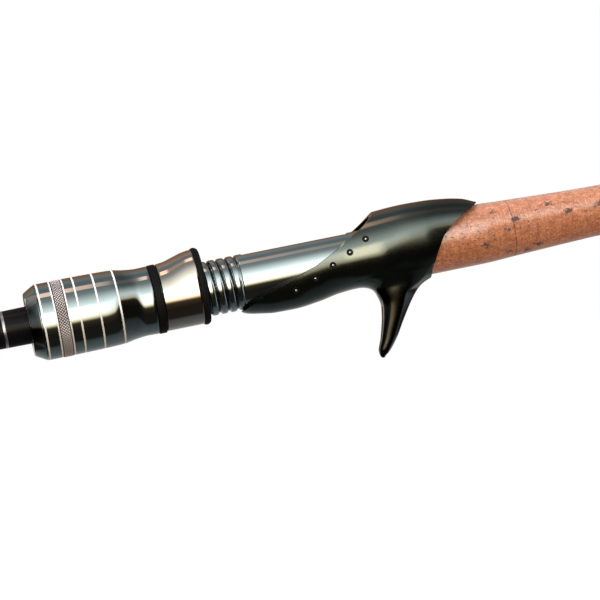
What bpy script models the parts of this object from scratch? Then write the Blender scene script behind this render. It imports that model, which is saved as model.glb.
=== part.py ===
"""Telescopic casting rod, stored collapsed: trigger seat with a threaded barrel and a screw-down
hood, cork grip, and four sliding sections with their line guides.

Row frame: the origin is the centre of the butt's end face on the rod's axis, +X points out of the
butt (the tip is towards -X), +Z is the side the reel sits on and the trigger points to -Z.
Lengths below are in millimetres and become metres in to_m().
"""

import math

import bmesh
import bpy
import numpy as np

for old in list(bpy.data.objects):
    bpy.data.objects.remove(old, do_unlink=True)

# ---------------------------------------------------------------- driving dimensions (mm)
GAP = 0.3  # clearance between neighbouring pieces
NUT_RING_X = -334.8  # the nut's first machined ring: seat stations count from here
SEG = 28  # sides of a turned piece

# nut and hood, stations from NUT_RING_X
NUT_FRONT = -4.9
NUT_SHELL_AT = (-0.75, 39.5)
INSERT_AT = (28.6, 39.2)  # threaded bush inside the nut
NUT_R = 13.6
NUT_BORE_R = 7.1
BAND_AT = (4.75, 8.8)  # knurled band
SEAL_AT = (39.7, 42.4)
HOOD_AT = (42.7, 56.0)
HOOD_R = 11.9
HOOD_RISE = 3.0  # how far the hood's mouth stands above its round part
RIM_W = 2.3

# barrel
BARREL_R = 9.85
BARREL_BORE_R = 8.0
BARREL_AT = (10.8, 137.2)
PITCH = 3.3
THREAD_DEPTH = 0.8
THREAD_AT = (22.0, 71.5)
DECK_Z = 9.5  # narrow flat along the top, in front of the rear hood's edge, that the reel foot rests on
DECK_AT = (74.0, 112.0)
BORE_R = BARREL_R + GAP  # whatever slides or fits over the barrel

# seat body (trigger grip shell)
CORK_R = 10.8
CORK_START = 137.8
STUD_R = 1.1

# rod tubes
TUBE_R = 6.0
TUBE_BORE_R = 5.25
TUBE_FRONT_X = -460.0
TUBE_BACK_X = -14.0
# per sliding section: back end x, front end x, back radius, front radius, bore radius at the front
SECTIONS = (
    ("section_2", -24.0, -476.0, 4.85, 4.50, 4.05),
    ("section_3", -28.0, -492.0, 3.75, 3.40, 2.95),
    ("section_4", -32.0, -508.0, 2.65, 2.30, 1.85),
    ("section_5", -36.0, -526.0, 1.55, 1.15, 0.0),
)
# guides: sleeve's front x, tube radius under the sleeve, ring centre above the axis, ring bore radius
GUIDES = (
    ("guide_1", -457.0, 6.0, 17.5, 5.6),
    ("guide_2", -474.5, 4.52, 14.0, 4.4),
    ("guide_3", -490.5, 3.42, 11.4, 3.5),
    ("guide_4", -506.5, 2.32, 9.0, 2.8),
)
TIP_AT = (-532.0, -520.0)
TIP_RING_Z = 5.6
TIP_RING_R = 2.1

WRAP_AT = (-358.0, -322.0)
ARBOR_FRONT_AT = (24.0, 52.0)
ARBOR_REAR_AT = (104.0, 134.0)

# grip: (x, radius) knots along the cork
SEAMS = (-163.8, -128.8, -93.8, -58.8)
CORK_END = -24.0
GRIP = (
    (NUT_RING_X + CORK_START, CORK_R), (-175.0, CORK_R), (-163.8, 10.3), (-146.0, 9.55),
    (-130.7, 9.05), (-110.0, 8.85), (-85.0, 9.1), (-58.0, 9.9), (-36.0, 11.2), (CORK_END, 12.1),
)
BUTT_R = 12.6
BUTT_RING_AT = (-23.8, -20.7)


def st(a):
    """x of a seat station."""
    return NUT_RING_X + a


def to_m(points):
    return [(x * 1e-3, y * 1e-3, z * 1e-3) for x, y, z in points]


# ---------------------------------------------------------------- materials
def material(name, colour, metal, rough):
    made = bpy.data.materials.new(name)
    made.use_nodes = True
    shader = made.node_tree.nodes["Principled BSDF"]
    shader.inputs["Base Color"].default_value = (*colour, 1)
    shader.inputs["Metallic"].default_value = metal
    shader.inputs["Roughness"].default_value = rough
    made.diffuse_color = (*colour, 1)
    return made


POLISHED = material("polished_metal", (0.52, 0.56, 0.58), 1.0, 0.15)
BRIGHT = material("knurled_aluminium", (0.80, 0.77, 0.75), 1.0, 0.35)
PAINT = material("seat_paint", (0.07, 0.11, 0.10), 0.8, 0.3)
BLACK = material("black_anodised", (0.03, 0.03, 0.035), 0.4, 0.35)
RUBBER = material("black_rubber", (0.02, 0.02, 0.02), 0.0, 0.7)
CORK = material("varnished_cork", (0.68, 0.42, 0.27), 0.0, 0.4)
BLANK = material("gloss_black_blank", (0.02, 0.02, 0.025), 0.0, 0.1)
CERAMIC = material("guide_ring", (0.05, 0.05, 0.06), 0.0, 0.15)
GUIDE_BLACK = material("guide_frame", (0.04, 0.04, 0.045), 0.8, 0.3)
FOAM = material("arbor_foam", (0.25, 0.25, 0.26), 0.0, 0.6)


# ---------------------------------------------------------------- mesh helpers
def add(name, mesh_or_bm, mat, weld=True):
    """Adds a mesh object whose faces point outwards."""
    if isinstance(mesh_or_bm, bmesh.types.BMesh):
        bm = mesh_or_bm
        mesh = bpy.data.meshes.new(name)
    else:
        mesh = mesh_or_bm
        bm = bmesh.new()
        bm.from_mesh(mesh)
    if weld:
        bmesh.ops.remove_doubles(bm, verts=bm.verts, dist=2e-6)
    bmesh.ops.recalc_face_normals(bm, faces=bm.faces)
    if bm.calc_volume(signed=True) < 0:
        bmesh.ops.reverse_faces(bm, faces=bm.faces)
    bm.to_mesh(mesh)
    bm.free()
    mesh.name = name
    mesh.shade_smooth()
    mesh.set_sharp_from_angle(angle=math.radians(28))
    obj = bpy.data.objects.new(name, mesh)
    bpy.context.scene.collection.objects.link(obj)
    if mat is not None:
        mesh.materials.clear()
        mesh.materials.append(mat)
    return obj


def skin(loops, closed):
    """A solid through loops of points. Closed joins the last loop to the first, else both ends are capped."""
    bm = bmesh.new()
    rows = [[bm.verts.new(p) for p in to_m(loop)] for loop in loops]
    n = len(rows[0])
    pairs = list(zip(rows, rows[1:]))
    if closed:
        pairs.append((rows[-1], rows[0]))
    for one, two in pairs:
        for i in range(n):
            j = (i + 1) % n
            bm.faces.new((one[i], one[j], two[j], two[i]))
    if not closed:
        bm.faces.new(rows[0])
        bm.faces.new(rows[-1])
    return bm


def ring_points(x, radius, seg, z=0.0):
    return [
        (
            x,
            radius * math.cos(2 * math.pi * i / seg),
            z + radius * math.sin(2 * math.pi * i / seg),
        )
        for i in range(seg)
    ]


def turned(profile, seg=SEG, closed=True, z=0.0):
    """A turned piece about an axis along X at height z, from (x, radius) pairs."""
    return skin([ring_points(x, r, seg, z) for x, r in profile], closed)


def tube(outer, bore, seg=SEG, z=0.0):
    """A turned piece with a bore: the outside from low x to high x, then the bore back."""
    return turned(list(outer) + list(reversed(bore)), seg, True, z)


def prism(outline, y0, y1):
    """A prism along Y from an (x, z) outline."""
    return skin([[(x, y, z) for x, z in outline] for y in (y0, y1)], False)


def combine(base, tools):
    """Applies (operation, bmesh) Booleans to base and returns the mesh; the tools are removed."""
    body = add("working", base, None)
    made = []
    for operation, bm in tools:
        tool = add("tool", bm, None)
        made.append(tool)
        cut = body.modifiers.new("cut", "BOOLEAN")
        cut.operation = operation
        cut.object = tool
        cut.solver = "EXACT"
    bpy.context.view_layer.update()
    graph = bpy.context.evaluated_depsgraph_get()
    mesh = bpy.data.meshes.new_from_object(body.evaluated_get(graph))
    for obj in [body, *made]:
        bpy.data.objects.remove(obj, do_unlink=True)
    return mesh


def largest_piece(mesh):
    """A bmesh of the mesh's biggest connected piece."""
    bm = bmesh.new()
    bm.from_mesh(mesh)
    bmesh.ops.remove_doubles(bm, verts=bm.verts, dist=2e-6)
    left = set(bm.verts)
    pieces = []
    while left:
        stack = [left.pop()]
        piece = set(stack)
        while stack:
            for edge in stack.pop().link_edges:
                for vert in edge.verts:
                    if vert not in piece:
                        piece.add(vert)
                        stack.append(vert)
        left -= piece
        pieces.append(piece)
    keep = max(pieces, key=len)
    bmesh.ops.delete(bm, geom=[v for v in bm.verts if v not in keep], context="VERTS")
    return bm


def ease(t):
    t = min(1.0, max(0.0, t))
    return t * t * (3 - 2 * t)


def curve(at, knots):
    """A smooth curve through (station, value) knots that doesn't overshoot them; flat beyond its ends."""
    xs = np.array([k[0] for k in knots], float)
    ys = np.array([k[1] for k in knots], float)
    steps = np.diff(xs)
    slopes = np.diff(ys) / steps
    tangents = np.zeros(len(xs))
    for i in range(1, len(xs) - 1):
        if slopes[i - 1] * slopes[i] > 0:
            w1, w2 = 2 * steps[i] + steps[i - 1], steps[i] + 2 * steps[i - 1]
            tangents[i] = (w1 + w2) / (w1 / slopes[i - 1] + w2 / slopes[i])
    tangents[0], tangents[-1] = slopes[0], slopes[-1]
    x = np.clip(at, xs[0], xs[-1])
    i = np.clip(np.searchsorted(xs, x, side="right") - 1, 0, len(xs) - 2)
    h = steps[i]
    t = (x - xs[i]) / h
    return (
        ys[i] * (1 + 2 * t) * (1 - t) ** 2
        + tangents[i] * h * t * (1 - t) ** 2
        + ys[i + 1] * t * t * (3 - 2 * t)
        + tangents[i + 1] * h * t * t * (t - 1)
    )


# ---------------------------------------------------------------- seat body
# (station, value) knots of the body's half width, and of its height above and below the axis
BODY_HALF = (
    (69, 10.5), (80, 11.2), (92, 11.8), (108, 12.1),
    (124, 13.0), (138, 12.9), (150, 12.1), (163, 11.3),
)
BODY_TOP = (
    (69, 10.5), (90, 11.5), (108, 13.6), (121, 15.3), (134, 16.0),
    (142, 15.8), (150, 15.0), (156, 13.8), (160.5, 11.9), (163, 11.0),
)
BODY_LOW = (
    (69, 10.3), (76, 12.3), (82, 13.1), (89, 13.2), (98, 12.3),
    (106, 10.9), (112, 10.5), (128, 11.6), (140, 11.4), (163, 11.2),
)
# (depth below the axis, station) knots of the trigger's two outlines, and its half thickness
TRIGGER_FRONT = (
    (8, 113.0), (11, 117.3), (14, 118.9), (18, 119.8), (22, 119.3),
    (26, 118.3), (30, 117.1), (34, 115.6), (36, 115.4),
)
TRIGGER_BACK = (
    (8, 146.0), (11, 140.0), (14, 134.9), (18, 131.3), (22, 128.5),
    (26, 125.9), (30, 123.4), (34, 120.3), (36, 118.3),
)
TRIGGER_THICK = ((8, 8.4), (14, 7.0), (20, 5.6), (28, 3.9), (34, 2.6), (36, 2.0))
# (station, height) knots of the flank's widest line, which climbs towards the rear
WIDEST = ((92, 0.2), (108, 1.2), (120, 1.6), (134, 3.0), (150, 3.0))
# (depth, station) knots of the ridge where the two flat facets of the trigger's back meet
SPINE = (
    (-2, 175), (2, 161), (4.9, 153.0), (7.2, 148.0), (9, 145.0), (10.5, 142.6),
    (12.3, 139.4), (15, 134.4), (18, 131.5), (22, 128.6), (26, 126.0), (30, 123.5), (36, 118.5),
)
# (depth, slope) knots: how fast each facet runs forward as it leaves the ridge
SLANT = ((2, 0.95), (10.5, 0.9), (15, 0.82), (20, 0.62), (26, 0.5), (36, 0.45))
# (station, height) knots of the pocket under the rear hood
POCKET_ROOF = (
    (92, 9.6), (100, 10.8), (108, 11.8), (115, 12.9),
    (121, 13.3), (128, 12.2), (133, 11.2), (135, 10.4),
)


def blend_min(one, two, k):
    h = np.clip(0.5 + 0.5 * (two - one) / k, 0, 1)
    return two * (1 - h) + one * h - k * h * (1 - h)


def seat_field(a, y, z):
    """Below zero inside the seat body's solid outline: a is the seat station, all in mm."""
    half, top, low = curve(a, BODY_HALF), curve(a, BODY_TOP), curve(a, BODY_LOW)
    widest = curve(a, WIDEST)
    tall = np.where(z > widest, top - widest, low + widest)
    body = (np.sqrt((y / half) ** 2 + ((z - widest) / tall) ** 2) - 1) * np.minimum(half, tall)
    # The finger trigger: a section of x and y that follows a hooked line downwards.
    depth = -z
    front, back = curve(depth, TRIGGER_FRONT), curve(depth, TRIGGER_BACK)
    thick = curve(depth, TRIGGER_THICK)
    end = np.sqrt(np.clip(1 - (np.clip(depth - 33.6, 0, None) / 3.5) ** 2, 0.0025, 1))
    middle, reach = (front + back) / 2, (back - front) / 2 * end
    across = thick * end
    trigger = ((np.abs((a - middle) / reach) ** 2.4 + np.abs(y / across) ** 2.4) ** (1 / 2.4) - 1) * across
    trigger = np.maximum(trigger, z + 5)
    trigger = np.maximum(trigger, depth - 37.05)
    solid = blend_min(body, trigger, 2.6)
    spine, slant = curve(depth, SPINE), curve(depth, SLANT)
    solid = np.maximum(solid, (a - spine + slant * np.abs(y)) / np.sqrt(1 + slant**2))
    # The pocket under the rear hood that holds the reel foot's back end.
    roof = curve(a, POCKET_ROOF)
    pocket = np.maximum(
        (np.sqrt((y / 8.2) ** 2 + (np.clip(z - 6.0, 0, None) / (roof - 6.0)) ** 2) - 1) * 5.0,
        a - 134.0,
    )
    pocket = np.maximum(np.maximum(pocket, 5.0 - z), 97.0 - a)
    solid = np.maximum(np.maximum(solid, 68.2 - a), a - 163.2)
    return np.maximum(solid, -pocket)


def surface_net(field, low, high, step):
    """(points, quads) of the field's zero surface, one point per cell that it crosses."""
    lines = [np.arange(low[i], high[i] + step, step) for i in range(3)]
    grid = np.meshgrid(*lines, indexing="ij")
    value = field(*grid)
    cells = tuple(n - 1 for n in value.shape)
    total = np.zeros((*cells, 3))
    count = np.zeros(cells)
    crossings = []
    for axis in range(3):
        first = [slice(None)] * 3
        second = [slice(None)] * 3
        first[axis], second[axis] = slice(0, -1), slice(1, None)
        v0, v1 = value[tuple(first)], value[tuple(second)]
        hit = (v0 < 0) != (v1 < 0)
        t = np.where(hit, v0 / np.where(hit, v0 - v1, 1), 0)
        where = [grid[i][tuple(first)] + (t * step if i == axis else 0) for i in range(3)]
        others = [i for i in range(3) if i != axis]
        for du in (0, 1):
            for dv in (0, 1):
                part = [slice(None)] * 3
                part[others[0]] = slice(du, du + cells[others[0]])
                part[others[1]] = slice(dv, dv + cells[others[1]])
                mask = hit[tuple(part)]
                count += mask
                for i in range(3):
                    total[..., i] += np.where(mask, where[i][tuple(part)], 0)
        crossings.append((axis, others, hit, v0))
    active = count > 0
    index = np.full(cells, -1)
    index[active] = np.arange(int(active.sum()))
    points = total[active] / count[active][:, None]
    quads = []
    for axis, (u, v), hit, v0 in crossings:
        i, j, k = np.nonzero(hit)
        at = [i, j, k]
        inner = (at[u] > 0) & (at[u] < cells[u]) & (at[v] > 0) & (at[v] < cells[v])
        at = [c[inner] for c in at]
        inside_first = v0[tuple(at)] < 0
        around = []
        for du, dv in ((0, 0), (1, 0), (1, 1), (0, 1)):
            cell = list(at)
            cell[u] = at[u] - du
            cell[v] = at[v] - dv
            around.append(index[tuple(cell)])
        quad = np.stack(around, axis=1)
        turn = inside_first if axis != 1 else ~inside_first
        quad[~turn] = quad[~turn][:, ::-1]
        quads.append(quad)
    return points, np.concatenate(quads)


def settle(points, field, rounds, most):
    """Moves each point onto the field's zero surface."""
    e = 1e-3
    offsets = e * np.eye(3)[:, :, None]
    for _ in range(rounds):
        p = points.T
        f = field(*p)
        slope = np.stack([(field(*(p + d)) - field(*(p - d))) / (2 * e) for d in offsets], axis=1)
        size = np.maximum((slope**2).sum(axis=1), 1e-6)
        move = -(f / size)[:, None] * slope
        length = np.maximum(np.linalg.norm(move, axis=1), 1e-9)
        points = points + move * np.minimum(1, most / length)[:, None]
    return points


# side view of the slanted front edge and of the slanted rear edge, as (station, z)
FRONT_EDGE = (
    (69.0, -10.9), (72.0, -9.4), (77.0, -6.9), (85.0, -4.1), (94.5, -1.0), (101.0, 1.9),
    (106.5, 4.6), (112.0, 7.8), (118.4, 11.5), (123.2, 15.6), (126.0, 20.0),
)
REAR_EDGE = (
    (139.0, -16.0), (139.6, -10.6), (140.0, -7.9), (141.2, -4.5), (142.9, -1.2),
    (145.0, 2.1), (149.3, 5.7), (155.2, 9.0), (159.4, 10.9), (163.0, 12.6),
)
STUDS = ((89.2, -6.8), (96.6, -4.0), (103.6, -0.6), (110.4, 2.7), (116.9, 6.3))


def seat_side(a, z):
    """|y| of the seat body's side at a station and height."""
    y = np.arange(16.0, 4.0, -0.01)
    inside = seat_field(np.full_like(y, a), y, np.full_like(y, z)) < 0
    return float(y[np.argmax(inside)])


def stud_frame(a, z, side):
    y = seat_side(a, z)
    e = 0.05
    f = [
        float(seat_field(np.array(a + dx), np.array(y + dy), np.array(z + dz)))
        for dx, dy, dz in ((e, 0, 0), (-e, 0, 0), (0, e, 0), (0, -e, 0), (0, 0, e), (0, 0, -e))
    ]
    n = np.array([f[0] - f[1], f[2] - f[3], f[4] - f[5]])
    n /= np.linalg.norm(n)
    n[1] *= side
    return np.array([st(a), y * side, z]), n


def pin_bm(centre, normal, profile, seg):
    """A turned piece about any axis, from (height, radius) pairs, with capped ends."""
    across = np.cross(normal, (1.0, 0.0, 0.0))
    across /= np.linalg.norm(across)
    other = np.cross(normal, across)
    return skin(
        [
            [
                tuple(
                    centre
                    + normal * h
                    + across * r * math.cos(2 * math.pi * i / seg)
                    + other * r * math.sin(2 * math.pi * i / seg)
                )
                for i in range(seg)
            ]
            for h, r in profile
        ],
        False,
    )


def seat_body():
    points, quads = surface_net(seat_field, (67.3, -15.1, -37.6), (164.0, 15.1, 18.0), 1.25)
    points = settle(points, seat_field, 3, 0.5)
    mesh = bpy.data.meshes.new("seat_outline")
    mesh.from_pydata(to_m([(st(a), y, z) for a, y, z in points.tolist()]), [], quads.tolist())
    base = add("outline", mesh, None)
    fewer = base.modifiers.new("fewer", "DECIMATE")
    fewer.ratio = 0.2
    bpy.context.view_layer.update()
    graph = bpy.context.evaluated_depsgraph_get()
    light = bpy.data.meshes.new_from_object(base.evaluated_get(graph))
    bpy.data.objects.remove(base, do_unlink=True)
    front = [(st(a), z) for a, z in FRONT_EDGE]
    front += [(st(126.0), 30.0), (st(50.0), 30.0), (st(50.0), -40.0), (st(69.0), -40.0)]
    rear = [(st(a), z) for a, z in REAR_EDGE]
    rear += [(st(163.0), 30.0), (st(180.0), 30.0), (st(180.0), -40.0), (st(139.0), -40.0)]
    tools = [
        ("DIFFERENCE", turned([(st(60), BORE_R), (st(140), BORE_R)], 40, False)),
        ("DIFFERENCE", turned([(st(137.5), CORK_R + GAP), (st(180), CORK_R + GAP)], 40, False)),
        ("DIFFERENCE", prism(front, -20.0, 20.0)),
        ("DIFFERENCE", prism(rear, -20.0, 20.0)),
    ]
    for a, z in STUDS:
        for side in (-1, 1):
            centre, normal = stud_frame(a, z, side)
            hole = pin_bm(centre, normal, ((-6.0, STUD_R + 0.2), (3.0, STUD_R + 0.2)), 10)
            tools.append(("DIFFERENCE", hole))
    bm = largest_piece(combine(light, tools))
    return add("seat_body", bm, PAINT)


def studs():
    for n, (a, z) in enumerate(STUDS, 1):
        for side, word in ((-1, "near"), (1, "far")):
            centre, normal = stud_frame(a, z, side)
            add(
                f"accent_stud_{word}_{n}",
                pin_bm(centre, normal, ((-1.1, STUD_R), (0.05, STUD_R), (0.3, STUD_R * 0.6)), 10),
                BLACK,
            )


# ---------------------------------------------------------------- barrel and hood
def barrel():
    seg = 24
    a0, a1 = THREAD_AT
    root = BARREL_R - THREAD_DEPTH
    rows = []
    turns = int((a1 - a0) / PITCH) + 2
    wave = ((0.0, BARREL_R), (0.44, BARREL_R), (0.62, root), (0.82, root))
    rows.append(ring_points(st(BARREL_AT[0]), BARREL_R, seg))
    for turn in range(-1, turns):
        for part, radius in wave:
            row = []
            for i in range(seg):
                a = a0 + PITCH * (turn + part + i / seg)
                r = radius if a0 < a < a1 else BARREL_R
                a = min(a1, max(a0, a))
                angle = 2 * math.pi * i / seg
                row.append((st(a), r * math.cos(angle), r * math.sin(angle)))
            rows.append(row)
    # The seam of the helix joins each row's end to the row one turn on, so it gets its own stitching.
    bm = bmesh.new()
    verts = [[bm.verts.new(p) for p in to_m(row)] for row in rows]
    count = len(verts)

    def quad(p, q, r, s):
        corners = []
        for v in (p, q, r, s):
            if v not in corners:
                corners.append(v)
        if len(corners) > 2:
            bm.faces.new(corners)

    for k in range(1, count - 1):
        for i in range(seg - 1):
            quad(verts[k][i], verts[k][i + 1], verts[k + 1][i + 1], verts[k + 1][i])
    for k in range(1, count - 5):
        quad(verts[k][seg - 1], verts[k + 4][0], verts[k + 5][0], verts[k + 1][seg - 1])
    bmesh.ops.remove_doubles(bm, verts=bm.verts, dist=2e-6)
    bmesh.ops.dissolve_degenerate(bm, edges=bm.edges, dist=2e-6)
    stale = [v for v in bm.verts if not v.link_faces]
    bmesh.ops.delete(bm, geom=stale, context="VERTS")

    def deck(a, radius):
        row = ring_points(st(a), radius, seg)
        if DECK_AT[0] <= a <= DECK_AT[1]:
            row = [(x, y, min(z, DECK_Z)) for x, y, z in row]
        return row

    def end_loop(x):
        there = [v for v in bm.verts if abs(v.co.x - x * 1e-3) < 1e-6]
        found = [v for v in there if any(e.is_boundary for e in v.link_edges)]
        return sorted(found, key=lambda v: math.atan2(v.co.z, v.co.y) % (2 * math.pi - 1e-4))

    low_loop, high_loop = end_loop(st(a0)), end_loop(st(a1))
    front, back = BARREL_AT
    outside = (DECK_AT[0] - 0.6, DECK_AT[0], DECK_AT[1], DECK_AT[1] + 0.6, back)
    after = [deck(a, BARREL_R) for a in outside]
    after += [ring_points(st(a), BARREL_BORE_R, seg) for a in (back, front)]
    after.append(ring_points(st(front), BARREL_R, seg))
    loops = [high_loop] + [[bm.verts.new(p) for p in to_m(row)] for row in after] + [low_loop]
    for one, two in zip(loops, loops[1:]):
        for i in range(seg):
            j = (i + 1) % seg
            bm.faces.new((one[i], one[j], two[j], two[i]))
    return add("seat_barrel", bm, POLISHED)


def lobed(x, base, rise, half_angle, flat_angle, seg=36):
    """A round loop that rises over the top: the reel foot goes under the risen part."""
    row = []
    for i in range(seg):
        angle = 2 * math.pi * i / seg
        off = abs((math.degrees(angle) - 90 + 180) % 360 - 180)
        r = base + rise * ease((half_angle - off) / (half_angle - flat_angle))
        row.append((x, r * math.cos(angle), r * math.sin(angle)))
    return row


# (station, rise) knots over the hood's top: outside, and inside its mouth
HOOD_RISES = (
    (42.7, 0.25), (45.5, 0.6), (49.5, 1.7), (53.0, 2.65), (56.0, HOOD_RISE), (58.3, HOOD_RISE),
)
MOUTH_RISES = ((46.0, 0.0), (48.0, 0.9), (56.0, 2.5), (58.3, 2.6))


def hood_outer(a, extra=0.0):
    return lobed(st(a), HOOD_R + extra, float(curve(a, HOOD_RISES)), 88, 22)


def hood_inner(a, extra=0.0):
    return lobed(st(a), BORE_R + 0.05 + extra, float(curve(a, MOUTH_RISES)), 62, 34)


def hood():
    a0, a1 = HOOD_AT
    outer = [hood_outer(a) for a in (a0, 45.5, 48.0, 50.5, 53.0, a1)]
    inner = [hood_inner(a) for a in (a1, 52.0, 48.0, 46.0, a0)]
    add("hood_shell", skin(outer + inner, True), POLISHED)
    r0, r1 = a1 + 0.02, a1 + RIM_W
    bulge = ((r0, 0.05), (r0 + 0.4, 0.45), (r0 + 1.15, 0.6), (r0 + 1.9, 0.35), (r1, -0.25))
    outer = [hood_outer(a, extra) for a, extra in bulge]
    inner = [hood_inner(a, extra) for a, extra in ((r1, 0.35), (r0 + 1.6, 0.05), (r0, 0.05))]
    add("hood_rim", skin(outer + inner, True), RUBBER)


# ---------------------------------------------------------------- guides
def guide(name, front, tube_r, ring_z, bore_r):
    back = front + 7.0
    outer = ((front, 1.0), (front + 0.6, 1.3), (back - 1.0, 1.3), (back, 0.9))
    sleeve = tube(
        [(x, tube_r + wall) for x, wall in outer],
        [(x, tube_r + 0.25) for x in (front, back)],
        24,
    )
    seat_r = bore_r + 0.9  # radius of the hard ring's outside
    holder_r = seat_r + 0.9
    x0 = front + 1.4
    holder = tube(
        [(x0, holder_r - 0.25), (x0 + 0.5, holder_r), (x0 + 1.3, holder_r), (x0 + 1.8, holder_r - 0.25)],
        [(x0, seat_r + 0.15), (x0 + 1.8, seat_r + 0.15)],
        28,
        ring_z,
    )
    foot = tube_r + 0.8
    reach = ring_z - seat_r - 0.5
    tools = [("UNION", holder)]
    width = 0.55 * holder_r
    leg = skin(
        [
            [(x0 + 0.2, -w, z), (x0 + 0.2, w, z), (x0 + t, w, z), (x0 + t, -w, z)]
            for z, w, t in ((foot, 1.9, 4.2), (0.5 * (foot + reach), 1.5, 2.4), (reach, width, 1.6))
        ],
        False,
    )
    tools.append(("UNION", leg))
    add(f"{name}_frame", largest_piece(combine(sleeve, tools)), GUIDE_BLACK)
    ring = tube(
        [(x0 - 0.2, seat_r - 0.25), (x0 + 0.1, seat_r), (x0 + 1.7, seat_r), (x0 + 2.0, seat_r - 0.25)],
        [(x0 - 0.2, bore_r + 0.3), (x0 + 0.9, bore_r), (x0 + 2.0, bore_r + 0.3)],
        28,
        ring_z,
    )
    add(f"{name}_ring", ring, CERAMIC)


def tip_top():
    x0, x1 = TIP_AT
    r = SECTIONS[-1][4] + 0.22
    outside = [(x0, 0.5), (x0 + 0.5, r + 0.5), (x1 - 0.4, r + 0.75), (x1, r + 0.4)]
    socket = [(x1, r), (SECTIONS[-1][2] - 0.4, r)]
    sleeve = turned(outside + socket, 20, False)
    seat_r = TIP_RING_R + 0.7
    holder_rim = [(0.6, 0.55), (1.0, 0.8), (1.8, 0.8), (2.2, 0.55)]
    holder = tube(
        [(x0 + dx, seat_r + dr) for dx, dr in holder_rim],
        [(x0 + 0.6, seat_r + 0.15), (x0 + 2.2, seat_r + 0.15)],
        24,
        TIP_RING_Z,
    )
    leg = skin(
        [
            [(x0 + 0.8, -w, z), (x0 + 0.8, w, z), (x0 + t, w, z), (x0 + t, -w, z)]
            for z, w, t in ((1.5, 0.9, 7.0), (TIP_RING_Z - seat_r - 0.35, 1.6, 2.1))
        ],
        False,
    )
    add("tip_top_frame", largest_piece(combine(sleeve, [("UNION", holder), ("UNION", leg)])), GUIDE_BLACK)
    ring = tube(
        [(x0 + 0.4, seat_r - 0.2), (x0 + 0.7, seat_r), (x0 + 2.1, seat_r), (x0 + 2.4, seat_r - 0.2)],
        [(x0 + 0.4, TIP_RING_R + 0.25), (x0 + 1.4, TIP_RING_R), (x0 + 2.4, TIP_RING_R + 0.25)],
        24,
        TIP_RING_Z,
    )
    add("tip_top_ring", ring, CERAMIC)


# ---------------------------------------------------------------- build
def build_tubes():
    outer = [(TUBE_FRONT_X, TUBE_R - 0.05), (-346.0, TUBE_R), (TUBE_BACK_X, TUBE_R + 0.1)]
    bore = [(TUBE_FRONT_X, TUBE_BORE_R - 0.05), (TUBE_BACK_X, TUBE_BORE_R + 0.15)]
    add("outer_tube", tube(outer, bore), BLANK)
    for name, back, front, back_r, front_r, bore_r in SECTIONS:
        outer = [(front, front_r), (back, back_r)]
        if bore_r:
            piece = tube(outer, [(front, bore_r), (back, bore_r + 0.15)], 24)
        else:
            piece = turned(outer, 16, False)
        add(name, piece, BLANK)


def build_ferrule():
    """The ring over the outer tube's front end."""
    lip, back = TUBE_FRONT_X - 0.8, TUBE_FRONT_X + 2.6
    outer = [(lip, 6.6), (lip + 0.4, 7.1), (back - 0.2, 7.1), (back, 6.9)]
    bore = [(lip, 5.3), (lip + 0.5, 5.3), (lip + 0.5, 6.2), (back, 6.2)]
    add("end_ferrule", tube(outer, bore, 24), POLISHED)


def build_wrap():
    """The wrap that swells from the bare tube to the nut, with the bright trim ring at its front."""
    start, end = WRAP_AT
    inner = TUBE_R + 0.25
    swell = ((0.0, 0.15), (4.0, 0.3), (7.8, 0.3), (14.0, 0.35), (18.0, 0.4), (end - start, 0.4))
    outer = [(start + along, inner + more) for along, more in swell]
    add("tube_wrap", tube(outer, [(start, inner), (end, inner)]), BLANK)
    trim = [(start - 1.2, 0.1), (start - 0.9, 0.35), (start - 0.6, 0.35), (start - 0.3, 0.1)]
    outer = [(x, inner + more) for x, more in trim]
    bore = [(start - 1.2, TUBE_R + 0.2), (start - 0.3, TUBE_R + 0.2)]
    add("wrap_trim_ring", tube(outer, bore), BRIGHT)


def build_nut():
    lip = st(NUT_FRONT)
    outer = [(lip, 10.9), (lip + 0.35, 11.35), (lip + 4.1, 13.5)]
    bore = [(lip, NUT_BORE_R), (lip + 4.1, NUT_BORE_R)]
    add("nut_collar", tube(outer, bore), POLISHED)

    b0, b1 = BAND_AT
    front, back = NUT_SHELL_AT
    outer = [(front, NUT_R), (b0 - 0.05, NUT_R), (b0 - 0.05, 12.5), (b1 + 0.05, 12.5)]
    outer += [(b1 + 0.05, NUT_R), (18.0, 13.5), (27.1, 13.2), (28.6, 12.95), (31.0, 12.5)]
    outer += [(35.5, 12.05), (back, 12.15)]
    bore = [(front, NUT_BORE_R), (1.9, NUT_BORE_R), (2.4, 10.6), (28.0, 10.6)]
    bore += [(28.3, 11.35), (back, 11.35)]
    shell = tube([(st(a), r) for a, r in outer], [(st(a), r) for a, r in bore])
    add("nut_shell", shell, POLISHED)

    band = [(b0 + 0.1, 13.5), (b0 + 0.3, NUT_R + 0.2), (b1 - 0.3, NUT_R + 0.2), (b1 - 0.1, 13.5)]
    bore = [(st(b0 + 0.1), 12.65), (st(b1 - 0.1), 12.65)]
    add("knurled_band", tube([(st(a), r) for a, r in band], bore), BRIGHT)

    i0, i1 = INSERT_AT
    insert = tube([(st(i0), 11.15), (st(i1), 11.15)], [(st(i0), BORE_R), (st(i1), BORE_R)])
    add("thread_insert", insert, BRIGHT)

    s0, s1 = SEAL_AT
    outer = [(s0, 11.9), (s0 + 0.5, 12.35), (s1 - 0.5, 12.35), (s1, 11.9)]
    bore = [(st(s0), BORE_R + 0.05), (st(s1), BORE_R + 0.05)]
    add("nut_seal_ring", tube([(st(a), r) for a, r in outer], bore), RUBBER)


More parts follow.
